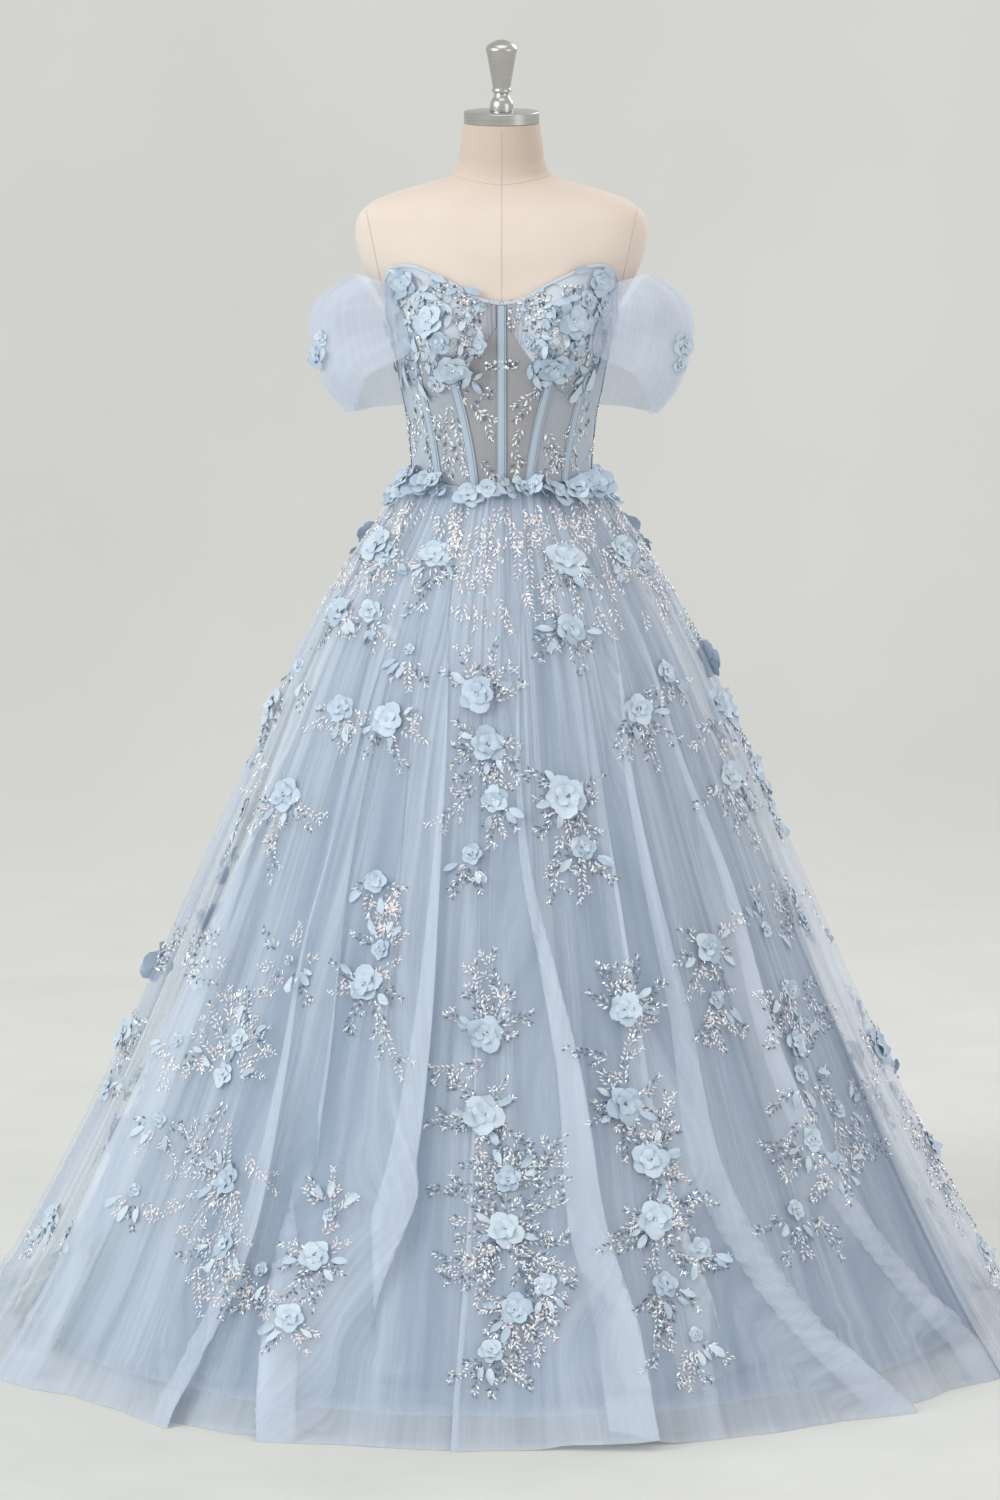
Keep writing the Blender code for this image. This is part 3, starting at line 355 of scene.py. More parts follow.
POST = ((1e-5, 0.0343), (0.016, 0.0343), (0.016, 0.7935), (0.045, 0.7940), (0.045, 0.7995), (1e-5, 0.7997))
turned("stand_post", POST, 0.0, coated, "stand_pole")

# ---------------------------------------------------------------- corset panels
# The boned bodice: power net backed with lilac-grey stay net, cut in ten panels that are
# sewn edge to edge. The cups carry a layer of blue tulle, drawn into pleats at the centre.
NECKLINE = (
    (0, 1.358), (8, 1.364), (16, 1.379), (26, 1.394), (37, 1.404), (47, 1.400),
    (56, 1.385), (64, 1.362), (74, 1.343), (90, 1.336), (130, 1.326), (180, 1.318),
)
PRINCESS, SIDE_FRONT, SIDE, BACK = (18, 26, 36), (45, 52, 56), (96, 96, 96), (140, 141, 142)
BODICE_OUT = 0.0036
WAIST, MIDRIFF_HEIGHT, BUST_SEAM_HEIGHT = 1.128, 1.255, 1.385


def folded(angle):
    return np.abs((np.asarray(angle, float) + 180) % 360 - 180)


def neck_height(angle):
    return along(NECKLINE, folded(angle))[..., 0]


def waist_height(angle):
    return WAIST - 0.011 * np.maximum(0, cosine(angle)) ** 2


def cup_bottom(angle):
    a = folded(angle)
    inner = 0.077 * np.maximum(1 - a / 34, 0) ** 2
    return 1.258 + inner + 0.050 * np.maximum((a - 34) / 22, 0) ** 2


def seam_angle(seam, height):
    return along(tuple(zip((WAIST, MIDRIFF_HEIGHT, BUST_SEAM_HEIGHT), seam)), height)[..., 0]


def panel(first, last, bottom, top, columns, rows, lift=None):
    """A grid of points of a bodice panel of the dress's left side, between two seams."""
    u, v = np.linspace(0, 1, columns)[None, :], np.linspace(0, 1, rows)[:, None]
    height = np.full((rows, columns), MIDRIFF_HEIGHT)
    for _ in range(10):
        angle = first(height) + u * (last(height) - first(height))
        height = bottom(angle) + v * (top(angle) - bottom(angle))
    return body(angle, height, BODICE_OUT + (lift(angle, height) if lift else 0))


def other_side(grid):
    """The same panel of the dress's right side."""
    return (grid * (-1, 1, 1))[:, ::-1]


def net_finish(name, low, high, centre=None):
    """Fine hexagonal net over a plain ground: matt, with a fine tooth; 1 mm holes drawn at 2.2 mm."""
    material, tree, shader = finish(
        name, Roughness=0.8, Sheen_Weight=0.35, Sheen_Roughness=0.4, Specular_IOR_Level=0.3
    )
    spot = add(tree, "NewGeometry")
    holes = add(tree, "TexVoronoi", {"Vector": spot, "Scale": 450.0}, feature="DISTANCE_TO_EDGE")
    clouds = add(tree, "TexNoise", {"Vector": spot, "Scale": 26.0, "Detail": 3.0})
    colour = add(tree, "Mix", {0: clouds, 6: shade(low), 7: shade(high)}, data_type="RGBA")
    if centre:  # the ground turns lilac where the cups meet
        off = add(tree, "Math", {0: add(tree, "SeparateXYZ", {"Vector": spot})}, operation="ABSOLUTE")
        off = add(tree, "MapRange", {"Value": off, "From Min": 0.014, "From Max": 0.034})
        colour = add(tree, "Mix", {0: off, 6: shade(centre), 7: colour}, data_type="RGBA")
    dots = add(tree, "MapRange", {"Value": holes, "From Max": 0.25})
    gap = add(tree, "Mix", {0: 0.14, 6: colour, 7: shade("#5d6470")}, data_type="RGBA")
    colour = add(tree, "Mix", {0: dots, 6: colour, 7: gap}, data_type="RGBA")
    tooth = add(tree, "Bump", {"Height": holes, "Strength": 0.25, "Distance": 0.0003})
    feed(shader, {"Base Color": colour, "Normal": tooth})
    return material


stay_net = net_finish("lilac_stay_net", "#9d9ca0", "#acaaae")
cup_net = net_finish("blue_cup_tulle", "#cad1dc", "#dfe3ea", "#b0b0b9")
side_net = net_finish("blue_side_tulle", "#b5c0cc", "#c4cdd8")
side_front_net = net_finish("blue_grey_stay_net", "#a9afb8", "#b9bec6")
edge_net = net_finish("blue_edge_tulle", "#c6d0db", "#d4dce4")


def cup_pleats(angle, height):
    """Fine pleats of the tulle that fan out between the cups."""
    near = np.clip(1 - folded(angle) / 15, 0, 1)
    return 0.0015 * near * np.sin(folded(angle) * 2 * math.pi / 2.1 * (BUST_SEAM_HEIGHT / height) ** 2)


def edge(seam):
    return lambda height: seam_angle(seam, height)


FRONT_SEAM, PRINCESS_SEAM, SIDE_FRONT_SEAM = edge((0, 0, 0)), edge(PRINCESS), edge(SIDE_FRONT)
SIDE_SEAM, BACK_SEAM = edge(SIDE), edge((180, 180, 180))
BODICE_PANELS = (  # name, seams, bottom and top, columns and rows, lift, cloth, flat cut and its area
    ("cup", FRONT_SEAM, SIDE_FRONT_SEAM, cup_bottom, neck_height,
     150, 40, cup_pleats, cup_net, (0.165, 0.150, 0.0170)),
    ("bodice_front", FRONT_SEAM, PRINCESS_SEAM, waist_height, cup_bottom,
     14, 40, None, stay_net, (0.062, 0.220, 0.0093)),
    ("bodice_side_front", PRINCESS_SEAM, SIDE_FRONT_SEAM, waist_height, cup_bottom,
     16, 34, None, side_front_net, (0.075, 0.180, 0.0081)),
    ("bodice_side", SIDE_FRONT_SEAM, SIDE_SEAM, waist_height, neck_height,
     24, 46, None, side_net, (0.105, 0.265, 0.0197)),
    ("bodice_back", SIDE_SEAM, BACK_SEAM, waist_height, neck_height,
     40, 44, None, side_net, (0.185, 0.212, 0.0346)),
)
bodice_pieces = []
for name, first, last, bottom, top, columns, rows, lift, cloth, flat in BODICE_PANELS:
    grid = panel(first, last, bottom, top, columns, rows, lift)
    for word, points in (("left", grid), ("right", other_side(grid))):
        piece = woven(f"{name}_{word}_net", points, cloth)
        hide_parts(f"{name}_{word}")
        bodice_pieces.append(piece)

# ---------------------------------------------------------------- boning channels and neckline
# Spiral steel bones in channels of pale blue satin tape, 12 mm wide, stitched down along both
# edges over the seams; the same tape covers the zip, and bias-cut tulle binds the top edge.
TAPE_WIDTH, TAPE_MIDDLE, STITCH_ROW = 0.012, 0.0063, 0.0043
# woven satin tape: a long soft glint along it, and a darker row of stitches sunk near each edge
satin_tape, tree, shader = finish(
    "blue_satin_tape", Roughness=0.42, Sheen_Weight=0.4, Sheen_Roughness=0.35, Anisotropic=0.4
)
across = add(tree, "SeparateXYZ", {"Vector": add(tree, "UVMap", uv_map="cloth")})
from_middle = add(tree, "Math", {0: across, 1: TAPE_MIDDLE}, operation="SUBTRACT")
from_middle = add(tree, "Math", {0: from_middle}, operation="ABSOLUTE")
from_row = add(tree, "Math", {0: from_middle, 1: STITCH_ROW}, operation="SUBTRACT")
from_row = add(tree, "Math", {0: from_row}, operation="ABSOLUTE")
stitched = {"Value": from_row, "From Min": 0.0002, "From Max": 0.0007, "To Min": 1.0, "To Max": 0.0}
stitched = add(tree, "MapRange", stitched)
taped = add(tree, "Mix", {0: stitched, 6: shade("#b3c1cf"), 7: shade("#7f8fa1")}, data_type="RGBA")
sunk = add(tree, "Bump", {"Height": stitched, "Strength": 0.7, "Distance": 0.0005}, invert=True)
feed(shader, {"Base Color": taped, "Normal": sunk})


def tape(name, seam, bottom, top, width, thickness, node, rows=50):
    """A narrow tape along a seam, proud of the panels, with its edges turned in."""
    angle = seam_angle(seam, MIDRIFF_HEIGHT)
    v = np.linspace(0, 1, rows)
    for _ in range(6):
        height = bottom(angle) + v * (top(angle) - bottom(angle))
        angle = seam_angle(seam, height)
    out = BODICE_OUT + 0.0010
    step = np.linalg.norm(body(angle + 1, height, out) - body(angle - 1, height, out), axis=1) / 2
    shape = ((-0.50, 0.0), (-0.49, 0.7), (-0.36, 0.85), (-0.22, 1.0), (-0.1, 1.05), (-0.03, 1.12), (0, 1.2))
    shape += tuple((-a, b) for a, b in shape[:-1])[::-1]
    grid = np.stack([body(angle + a * width / step, height, out + b * thickness / 1.2) for a, b in shape], 1)
    made = woven(name, grid, satin_tape)
    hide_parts(node)
    return made


def above_waist(angle):
    return waist_height(angle) + 0.001


def below_binding(angle):
    return np.minimum(neck_height(angle - 3.4), neck_height(angle + 3.4)) - 0.007


def below_cup(angle):
    return cup_bottom(angle) - 0.002


CHANNELS = [("centre", (0, 0, 0), below_binding)]
PAIRS = (("princess", PRINCESS, below_cup), ("side_front", SIDE_FRONT, below_binding))
PAIRS += (("side", SIDE, below_binding), ("back", BACK, below_binding))
for name, seam, top in PAIRS:
    for word, side in (("left", 1), ("right", -1)):
        CHANNELS.append((f"{name}_{word}", tuple(side * a for a in seam), top))
channels = [
    tape(f"bone_channel_{name}", seam, above_waist, top, TAPE_WIDTH, 0.0016, f"channel_{name}")
    for name, seam, top in CHANNELS
]
zip_tape = tape("back_zip_placket", (180, 180, 180), above_waist, below_binding, 0.007, 0.0014, "back_zip")

turns = np.linspace(-180, 180, 241)
LIP = (  # drop below the neckline and reach out of the panels, round the fold of the binding
    (0.0046, 0.0007), (0.0036, 0.0011), (0.0020, 0.0012), (0.0007, 0.0009), (0.0001, 0.0002),
    (0.0001, -0.0008), (0.0016, -0.0014),
)
binding_grid = [body(turns, neck_height(turns) - drop, BODICE_OUT + out) for drop, out in LIP]
binding = woven("neckline_bias_binding", binding_grid, edge_net)
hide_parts("neckline_binding")

# ---------------------------------------------------------------- skirt lining
# A dusty blue satin skirt in four flared gores, sewn in at the waist. It hangs inside the
# tulle, ends just above the floor, and gives the dress its depth of colour.
WAIST_SIDE, WAIST_FRONT = 0.1206, 0.0946
SKIRT = (  # height, side radius, share of the folds
    (0.000, 0.712, 1.00), (0.060, 0.672, 0.94), (0.220, 0.581, 0.80), (0.400, 0.491, 0.64),
    (0.600, 0.401, 0.47), (0.780, 0.318, 0.33), (0.920, 0.253, 0.23), (1.010, 0.200, 0.17),
    (1.080, 0.150, 0.10), (WAIST, WAIST_SIDE, 0.045),
)
DEEPER, SWING, VALLEY = 1.09, 0.018, 0.046  # depth by width, push to the left, depth of the folds


def skirt(angle, height, out=0.0):
    """Points of the skirt in the valleys between its folds, moved out of it."""
    angle, height = np.broadcast_arrays(np.asarray(angle, float), np.asarray(height, float))
    side, share = np.moveaxis(along(SKIRT, height), -1, 0)
    s, c = sine(angle), cosine(angle)
    front = WAIST_FRONT + (side - WAIST_SIDE) * DEEPER
    swung = np.where(s > 0, (side - WAIST_SIDE) * SWING * s, 0)
    valley = VALLEY * share
    drop = np.maximum(0, (height - 1.0) / (WAIST - 1.0)) * (WAIST - waist_height(angle))
    return np.stack([(side + swung - valley + out) * s, -(front - valley + out) * c, height - drop], -1)


def skirt_share(height):
    return along(SKIRT, height)[..., 1]


# polyester satin: smooth, softly glossy down the drop, with faint changes of shade
lining_satin, tree, shader = finish("dusty_blue_satin", Roughness=0.5, Sheen_Weight=0.2, Anisotropic=0.3)
spot = add(tree, "NewGeometry")
clouds = add(tree, "TexNoise", {"Vector": spot, "Scale": 5.0, "Detail": 3.0})
dyed = add(tree, "Mix", {0: clouds, 6: shade("#6c829c"), 7: shade("#7b92ac")}, data_type="RGBA")
feed(shader, {"Base Color": dyed})
LINING_END = 0.034  # lower than the solid's, so that no dark line shows through the hem
turns = np.linspace(-180, 180, 241)
heights = np.concatenate([np.linspace(LINING_END, 1.05, 40), np.linspace(1.06, 1.1275, 12)])[:, None]
away = np.clip((WAIST - heights) / 0.1, 0, 1)
inward = 0.0030 + (0.012 + 0.020 * np.abs(sine(turns)) ** 3) * away * away * (3 - 2 * away)
ripple = 0.0045 * skirt_share(heights) * np.sin(np.radians(turns * 17) + 2.2 * sine(turns * 3))
lining = woven("skirt_lining", skirt(turns, heights, ripple - inward), lining_satin)
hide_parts("lining_front", "lining_left", "lining_back", "lining_right")

# ---------------------------------------------------------------- tulle overskirt
# Two layers of soft blue tulle in eight flared gores, gathered into the waist seam. The inner
# one hangs smooth; the outer one falls in deep rolled folds and carries the embroidery.


def ray(x, y, turn=0.0):
    """The line of sight through a spot of the photograph, turned round the dress by some degrees."""
    spot = SENSOR / PHOTO_HEIGHT
    ahead = Vector(((x - PHOTO_WIDTH / 2) * spot, (PHOTO_HEIGHT / 2 - y) * spot, -LENS)).normalized()
    ahead.rotate(Euler((CAMERA_TILT, 0, math.radians(turn))))
    start = CAMERA_PLACE.copy()
    start.rotate(Euler((0, 0, math.radians(turn))))
    return start, ahead


def on_skirt(x, y):
    """Angle and height of the skirt under a spot of the photograph."""
    start, ahead = ray(x, y)
    t = np.linspace(10.3, 12.2, 1500)
    line = np.array(start) + t[:, None] * np.array(ahead)
    height = np.clip(line[:, 2], 0.0, WAIST)
    side = skirt(90, height)[:, 0]
    front = -skirt(0, height)[:, 1]
    k = int(np.argmax((line[:, 0] / side) ** 2 + (line[:, 1] / front) ** 2 < 1))
    k = k or int(np.argmin((line[:, 0] / side) ** 2 + (line[:, 1] / front) ** 2))
    return math.degrees(math.atan2(line[k, 0] / side[k], -line[k, 1] / front[k])), float(height[k])


ROLLED = (  # folds of the photograph: spots down the rolled edge, half width, rise, lean, heights of its ends
    (((453, 560), (448, 700), (442, 847), (430, 1059), (410, 1203), (372, 1310)),
     2.8, 0.032, 2.9, 0.10, 1.1),
    (((330, 860), (310, 941), (293, 1059), (252, 1260), (218, 1340), (184, 1404)),
     2.6, 0.030, 2.6, -0.3, 1.0),
    (((300, 1100), (290, 1174), (272, 1300), (262, 1404), (262, 1440)), 2.4, 0.026, -2.6, -0.3, 0.34),
    (((520, 560), (518, 700), (530, 870), (552, 960), (576, 1059), (605, 1231), (632, 1317), (651, 1432)),
     2.6, 0.034, 2.8, -0.3, 1.1),
    (((612, 640), (626, 760), (650, 880), (680, 1002), (720, 1180), (785, 1289), (892, 1400)),
     2.2, 0.036, 2.8, -0.3, 1.05),
    (((640, 640), (672, 742), (720, 868), (771, 1048), (852, 1211), (961, 1340)),
     2.2, 0.030, 2.4, -0.3, 1.05),
    (((396, 640), (352, 860), (332, 1050), (310, 1200)), 2.2, 0.018, 1.8, 0.22, 1.0),
    (((300, 700), (225, 920), (110, 1200), (80, 1260)), 2.6, 0.030, -2.0, -0.3, 1.0),
    (((575, 620), (606, 800), (632, 980), (668, 1180), (712, 1300)), 1.6, 0.014, 1.6, 0.05, 1.0),
    (((430, 560), (404, 800), (388, 1000), (372, 1150)), 1.6, 0.012, 1.5, 0.20, 1.1),
    (((490, 560), (484, 800), (478, 1000), (470, 1200), (455, 1400)), 1.8, 0.010, -1.2, -0.3, 1.1),
    (((560, 540), (584, 700), (600, 820)), 1.6, 0.012, -1.4, 0.5, 1.1),
)
AROUND = (  # the other folds: angle, half width, rise, lean
    (72, 3.2, 0.034, -2.2), (87.5, 4.2, 0.024, 0.8), (103, 3.4, 0.038, 2.4), (120, 3.4, 0.032, 2.0),
    (134, 4.4, 0.040, -1.0), (150, 3.4, 0.030, 2.2), (166, 4.6, 0.038, -1.1), (184, 3.4, 0.040, 2.4),
    (195, 5.6, 0.032, -1.0), (214, 3.2, 0.036, 2.4), (226, 4.4, 0.030, 0.6), (241, 3.2, 0.036, -2.3),
    (259, 3.2, 0.030, 2.0), (271, 4.4, 0.038, -0.8), (286, 3.4, 0.032, 2.0), (302, 4.0, 0.030, -0.6),
)
turns = np.linspace(-180, 180, 1101)
levels = [np.linspace(0.0006, 0.09, 16), np.linspace(0.105, 1.0, 50), np.linspace(1.01, 1.1276, 14)]
levels = np.concatenate(levels)
theta, height = np.meshgrid(turns, levels)
share = skirt_share(height)
rise = np.zeros_like(theta)
shift = np.zeros_like(theta)
folds = []
for spots, half, lift, lean, low, high in ROLLED:
    found = sorted((on_skirt(*spot)[::-1] for spot in spots), key=lambda f: f[0])
    kept = np.clip((height - low) / 0.16, 0, 1) * np.clip((high - height) / 0.16, 0, 1)
    rolled_over = lean * half * kept * np.clip(1.25 - height, 0.35, 1.0)
    folds.append((along(found, height)[..., 0] - rolled_over, half, lift * kept, rolled_over))
for angle, half, lift, lean in AROUND:
    folds.append((np.full_like(theta, angle), half, lift, lean * half * np.clip(1.25 - height, 0.35, 1.0)))
plain = np.ones_like(theta)
for middle, half, lift, rolled_over in folds:
    t = ((theta - middle + 180) % 360 - 180) / half
    crest = np.clip(1 - t * t, 0, None) ** 2
    rise += lift * crest * share
    shift += rolled_over * crest
    plain = np.minimum(plain, 1 - 0.8 * np.clip(1.6 - t * t, 0, 1))
rng = np.random.default_rng(7)
fine = np.zeros_like(theta)
FINE_FOLDS = (  # count round the skirt, rise, heights of their ends
    (29, 0.0024, -0.2, 0.7), (53, 0.0010, 0.3, 1.1), (37, 0.0030, 0.66, 1.3), (61, 0.0022, 0.72, 1.3),
    (97, 0.0012, 0.8, 1.3), (131, 0.0013, 0.95, 1.4),
)
for waves, size, low, high in FINE_FOLDS:
    drift = 80 * sine(turns * 7 + 40 * waves) + 60 * sine(turns * 13) + rng.uniform(0, 360)
    fade = np.clip((height - low) / 0.15 + 0.3, 0, 1) * np.clip((high - height) / 0.2, 0, 1)
    gate = 0.5 + 0.5 * sine(theta * 5 + 70 * waves)
    fine += size * fade * gate * (1 + cosine(theta * waves + drift)) * plain
for _ in range(90):  # wispy creases where the hem meets the floor and is pushed back up
    angle, level = rng.uniform(-180, 180), rng.uniform(0.05, 0.12)
    wide, slope = rng.uniform(2.0, 6.0), rng.uniform(-0.004, 0.004)
    across = (theta - angle + 180) % 360 - 180
    crease = np.exp(-((across / wide) ** 2) - ((height - level - slope * across) / 0.005) ** 2)
    fine += rng.uniform(0.003, 0.007) * crease
lifted = 0.022 * np.exp(-(((theta - 11.5) / 4.2) ** 2)) * np.clip(1 - height / 0.09, 0, 1)
outer_grid = skirt(theta + shift, height, rise + fine)
outer_grid[..., 2] += lifted


def tulle_finish(name, colour_low, colour_high, density, streaks, waist_density=0.0, soft_top=None):
    """Soft tulle as a part-clear sheet: matt, its thread density in long uneven streaks down the cloth."""
    material, tree, shader = finish(
        name, Roughness=0.85, Sheen_Weight=0.3, Sheen_Roughness=0.45, Specular_IOR_Level=0.2
    )
    place = add(tree, "UVMap", uv_map="cloth")
    drawn = add(tree, "Mapping", {"Vector": place, "Scale": (48.0, 1.8, 1.0)})
    streak = {"Vector": drawn, "Scale": 1.0, "Detail": 4.0, "Roughness": 0.65}
    streak = add(tree, "TexNoise", streak)
    wide = add(tree, "Mapping", {"Vector": place, "Scale": (14.0, 1.1, 1.0)})
    patchy = add(tree, "TexNoise", {"Vector": wide, "Scale": 1.0, "Detail": 2.0})
    both = add(tree, "Math", {0: streak, 1: patchy}, operation="ADD")
    thread = {"Value": both, "From Min": 0.8, "From Max": 1.2}
    thread |= {"To Min": density - streaks, "To Max": density + streaks}
    thread = add(tree, "MapRange", thread)
    spot = add(tree, "SeparateXYZ", {"Vector": add(tree, "NewGeometry")})
    near_waist = {"Value": spot.outputs["Z"], "From Min": 0.7, "From Max": 1.12, "To Max": waist_density}
    near_waist = add(tree, "MapRange", near_waist)
    alpha = add(tree, "Math", {0: thread, 1: near_waist}, operation="ADD")
    if soft_top:  # the turned-up hem thins out at its raw top edge
        up = add(tree, "SeparateXYZ", {"Vector": place}).outputs["Y"]
        frayed = {"Value": up, "From Min": 0.55 * soft_top, "From Max": soft_top}
        frayed |= {"To Min": 1.0, "To Max": 0.1}
        frayed = add(tree, "MapRange", frayed, interpolation_type="SMOOTHSTEP")
        alpha = add(tree, "Math", {0: alpha, 1: frayed}, operation="MULTIPLY")
    dyed = add(tree, "Mix", {0: patchy, 6: shade(colour_low), 7: shade(colour_high)}, data_type="RGBA")
    crease = add(tree, "Bump", {"Height": streak, "Strength": 0.3, "Distance": 0.002})
    feed(shader, {"Base Color": dyed, "Alpha": alpha, "Normal": crease})
    return material


inner_tulle = tulle_finish("blue_tulle_inner", "#ccdbec", "#d9e5f3", 0.24, 0.08, 0.12)
outer_tulle = tulle_finish("blue_tulle_outer", "#dae6f4", "#e9effa", 0.29, 0.15, 0.08)
hem_tulle = tulle_finish("blue_tulle_hem", "#cfd9e8", "#dde4f0", 0.46, 0.10, soft_top=0.070)

inner_turns = np.linspace(-180, 180, 361)
inner_levels = np.concatenate([np.linspace(0.012, 1.0, 40), np.linspace(1.01, 1.1276, 12)])[:, None]
inner_ripple = 0.0015 * sine(inner_turns * 23) * skirt_share(inner_levels)
inner_grid = skirt(inner_turns, inner_levels, -0.0028 + inner_ripple)
tulle_inner = woven("tulle_inner_layer", inner_grid, inner_tulle)
tulle_outer = woven("tulle_outer_layer", outer_grid, outer_tulle)
GORES = ("front", "front_left", "side_left", "back_left", "back", "back_right", "side_right", "front_right")
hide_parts(*[f"overlay_{gore}" for gore in GORES])
band_rows = levels <= 0.0661
band_grid = outer_grid[: int(band_rows.sum()) + 1] * (1.0012, 1.0012, 1.0)
hem_band = woven("tulle_hem_band", band_grid, hem_tulle)

# ---------------------------------------------------------------- sleeves
# Off-the-shoulder bands, each a loop of two layers of sheer tulle that is gathered into a seam
# at the front and back of the bodice and puffs out round the arm.
SLEEVE_DOWN = (
    (0.00, 0.47), (0.05, 0.64), (0.14, 0.84), (0.26, 0.96), (0.40, 1.00),
    (0.55, 0.975), (0.72, 0.91), (0.87, 0.78), (1.00, 0.58),
)
SLEEVE_EDGES = (
    (-90, 1.376, 1.300), (-60, 1.384, 1.256), (-25, 1.386, 1.206), (0, 1.383, 1.202),
    (30, 1.370, 1.200), (60, 1.340, 1.200), (90, 1.306, 1.210),
)


def sleeve(turn, down, inward=0.0):
    """Points of the left sleeve at a turn round its loop and a share of the way down it."""
    turn, down = np.broadcast_arrays(np.asarray(turn, float), np.asarray(down, float))
    s, c = sine(turn), cosine(turn)
    top, bottom = np.moveaxis(along(SLEEVE_EDGES, turn), -1, 0)
    outward = along(SLEEVE_DOWN, down)[..., 0]
    gathered = 0.35 + 0.65 * np.abs(s)
    pleats = 0.0026 * np.cos(3 * math.pi * (down - 0.0060 * np.abs(turn)) + 0.8) * gathered
    pleats = pleats + 0.0004 * gathered * np.sin(37 * down + 3.1 * np.sin(3 * np.radians(turn)) + 1)
    pleats = pleats + 0.0030 * c * np.sin(7 * down + 0.09 * turn)
    reach = 0.110 * np.maximum(c, 0) ** 0.75 * outward + pleats * c - inward
    depth = (0.078 * (1 + 0.16 * c * outward) + pleats - inward) * s
    height = top + down * (bottom - top)
    puff = np.stack([0.137 + reach, 0.006 + depth, height], -1)
    caught = np.clip((np.abs(turn) - 62) / 28, 0, 1)
    caught = (caught * caught * (3 - 2 * caught))[..., None]
    sewn = body(np.where(turn < 0, 52, 132), height, BODICE_OUT + 0.0036)
    return puff * (1 - caught) + sewn * caught


sleeve_tulle = tulle_finish("blue_tulle_sleeve", "#d4dff0", "#e2e8f5", 0.36, 0.08)
turns, downs = np.linspace(-90, 90, 73)[None, :], np.linspace(1, 0, 61)[:, None]
for word, side in (("left", 1), ("right", -1)):
    for layer, inward, node in (("outer", 0.0, f"sleeve_{word}"), ("inner", 0.004, None)):
        grid = sleeve(turns, downs, inward)
        made = woven(f"sleeve_{word}_{layer}", grid if side > 0 else other_side(grid), sleeve_tulle)
        if node:
            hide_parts(node)

# ---------------------------------------------------------------- flowers
# Five-petalled flowers cut from stiff organza, singed at the rim so that they curl, two rows of
# petals caught down in the middle with a few glass beads.
# woven polyester organza: crisp, with a low sheen, and its threads a little uneven
organza = []
for name, low, high in (
    ("organza_pale", "#c4d4e2", "#d8e3ee"), ("organza_mid", "#b8cadb", "#cddae7"),
    ("organza_deep", "#a8bccf", "#c0cfdf"),
):
    material, tree, shader = finish(
        name, Roughness=0.6, Sheen_Weight=0.35, Sheen_Roughness=0.3, Specular_IOR_Level=0.4
    )
    spot = add(tree, "NewGeometry")
    veins = add(tree, "TexNoise", {"Vector": spot, "Scale": 160.0, "Detail": 3.0})
    dyed = add(tree, "Mix", {0: veins, 6: shade(low), 7: shade(high)}, data_type="RGBA")
    bump = add(tree, "Bump", {"Height": veins, "Strength": 0.25, "Distance": 0.0006})
    feed(shader, {"Base Color": dyed, "Normal": bump})
    organza.append(material)


def tree_of(objects):
    """A search tree over the faces of several pieces."""
    verts, faces = [], []
    for each in objects:
        start = len(verts)
        verts += [v.co.copy() for v in each.data.vertices]
        faces += [[start + i for i in p.vertices] for p in each.data.polygons]
    return BVHTree.FromPolygons(verts, faces)


def stepped(x, y, heading, length):
    """The spot of the photograph some way along a heading; 0 is right and 90 is down."""
    return x + length * cosine(heading), y + length * sine(heading)


def way_of(heading, turn=0.0):
    """A heading of the photograph as a direction in space, seen from a turn round the dress."""
    return np.array((cosine(heading) * cosine(turn), cosine(heading) * sine(turn), -sine(heading)))


def seat(search, x, y, turn=0.0):
    """The spot of the cloth under a spot of the photograph, and the way it faces; None off the cloth."""
    start, ahead = ray(x, y, turn)
    hit, normal, _, _ = search.ray_cast(start, ahead)
    if hit is None:
        return None
    return np.array(hit), np.array(-normal if normal.dot(ahead) > 0 else normal)


def frame_on(normal, heading):
    """Three directions on the cloth: along the heading, across it, and out."""
    out = normal / np.linalg.norm(normal)
    ahead = heading - out * heading.dot(out)
    ahead /= np.linalg.norm(ahead) + 1e-9
    return ahead, np.cross(out, ahead), out


def joined(name, parts, materials, smooth=True):
    """One mesh of many small parts, each of one of the materials."""
    made = piece_of(name, parts.verts, parts.faces, materials, smooth)
    made.data.polygons.foreach_set("material_index", parts.slots)
    return made


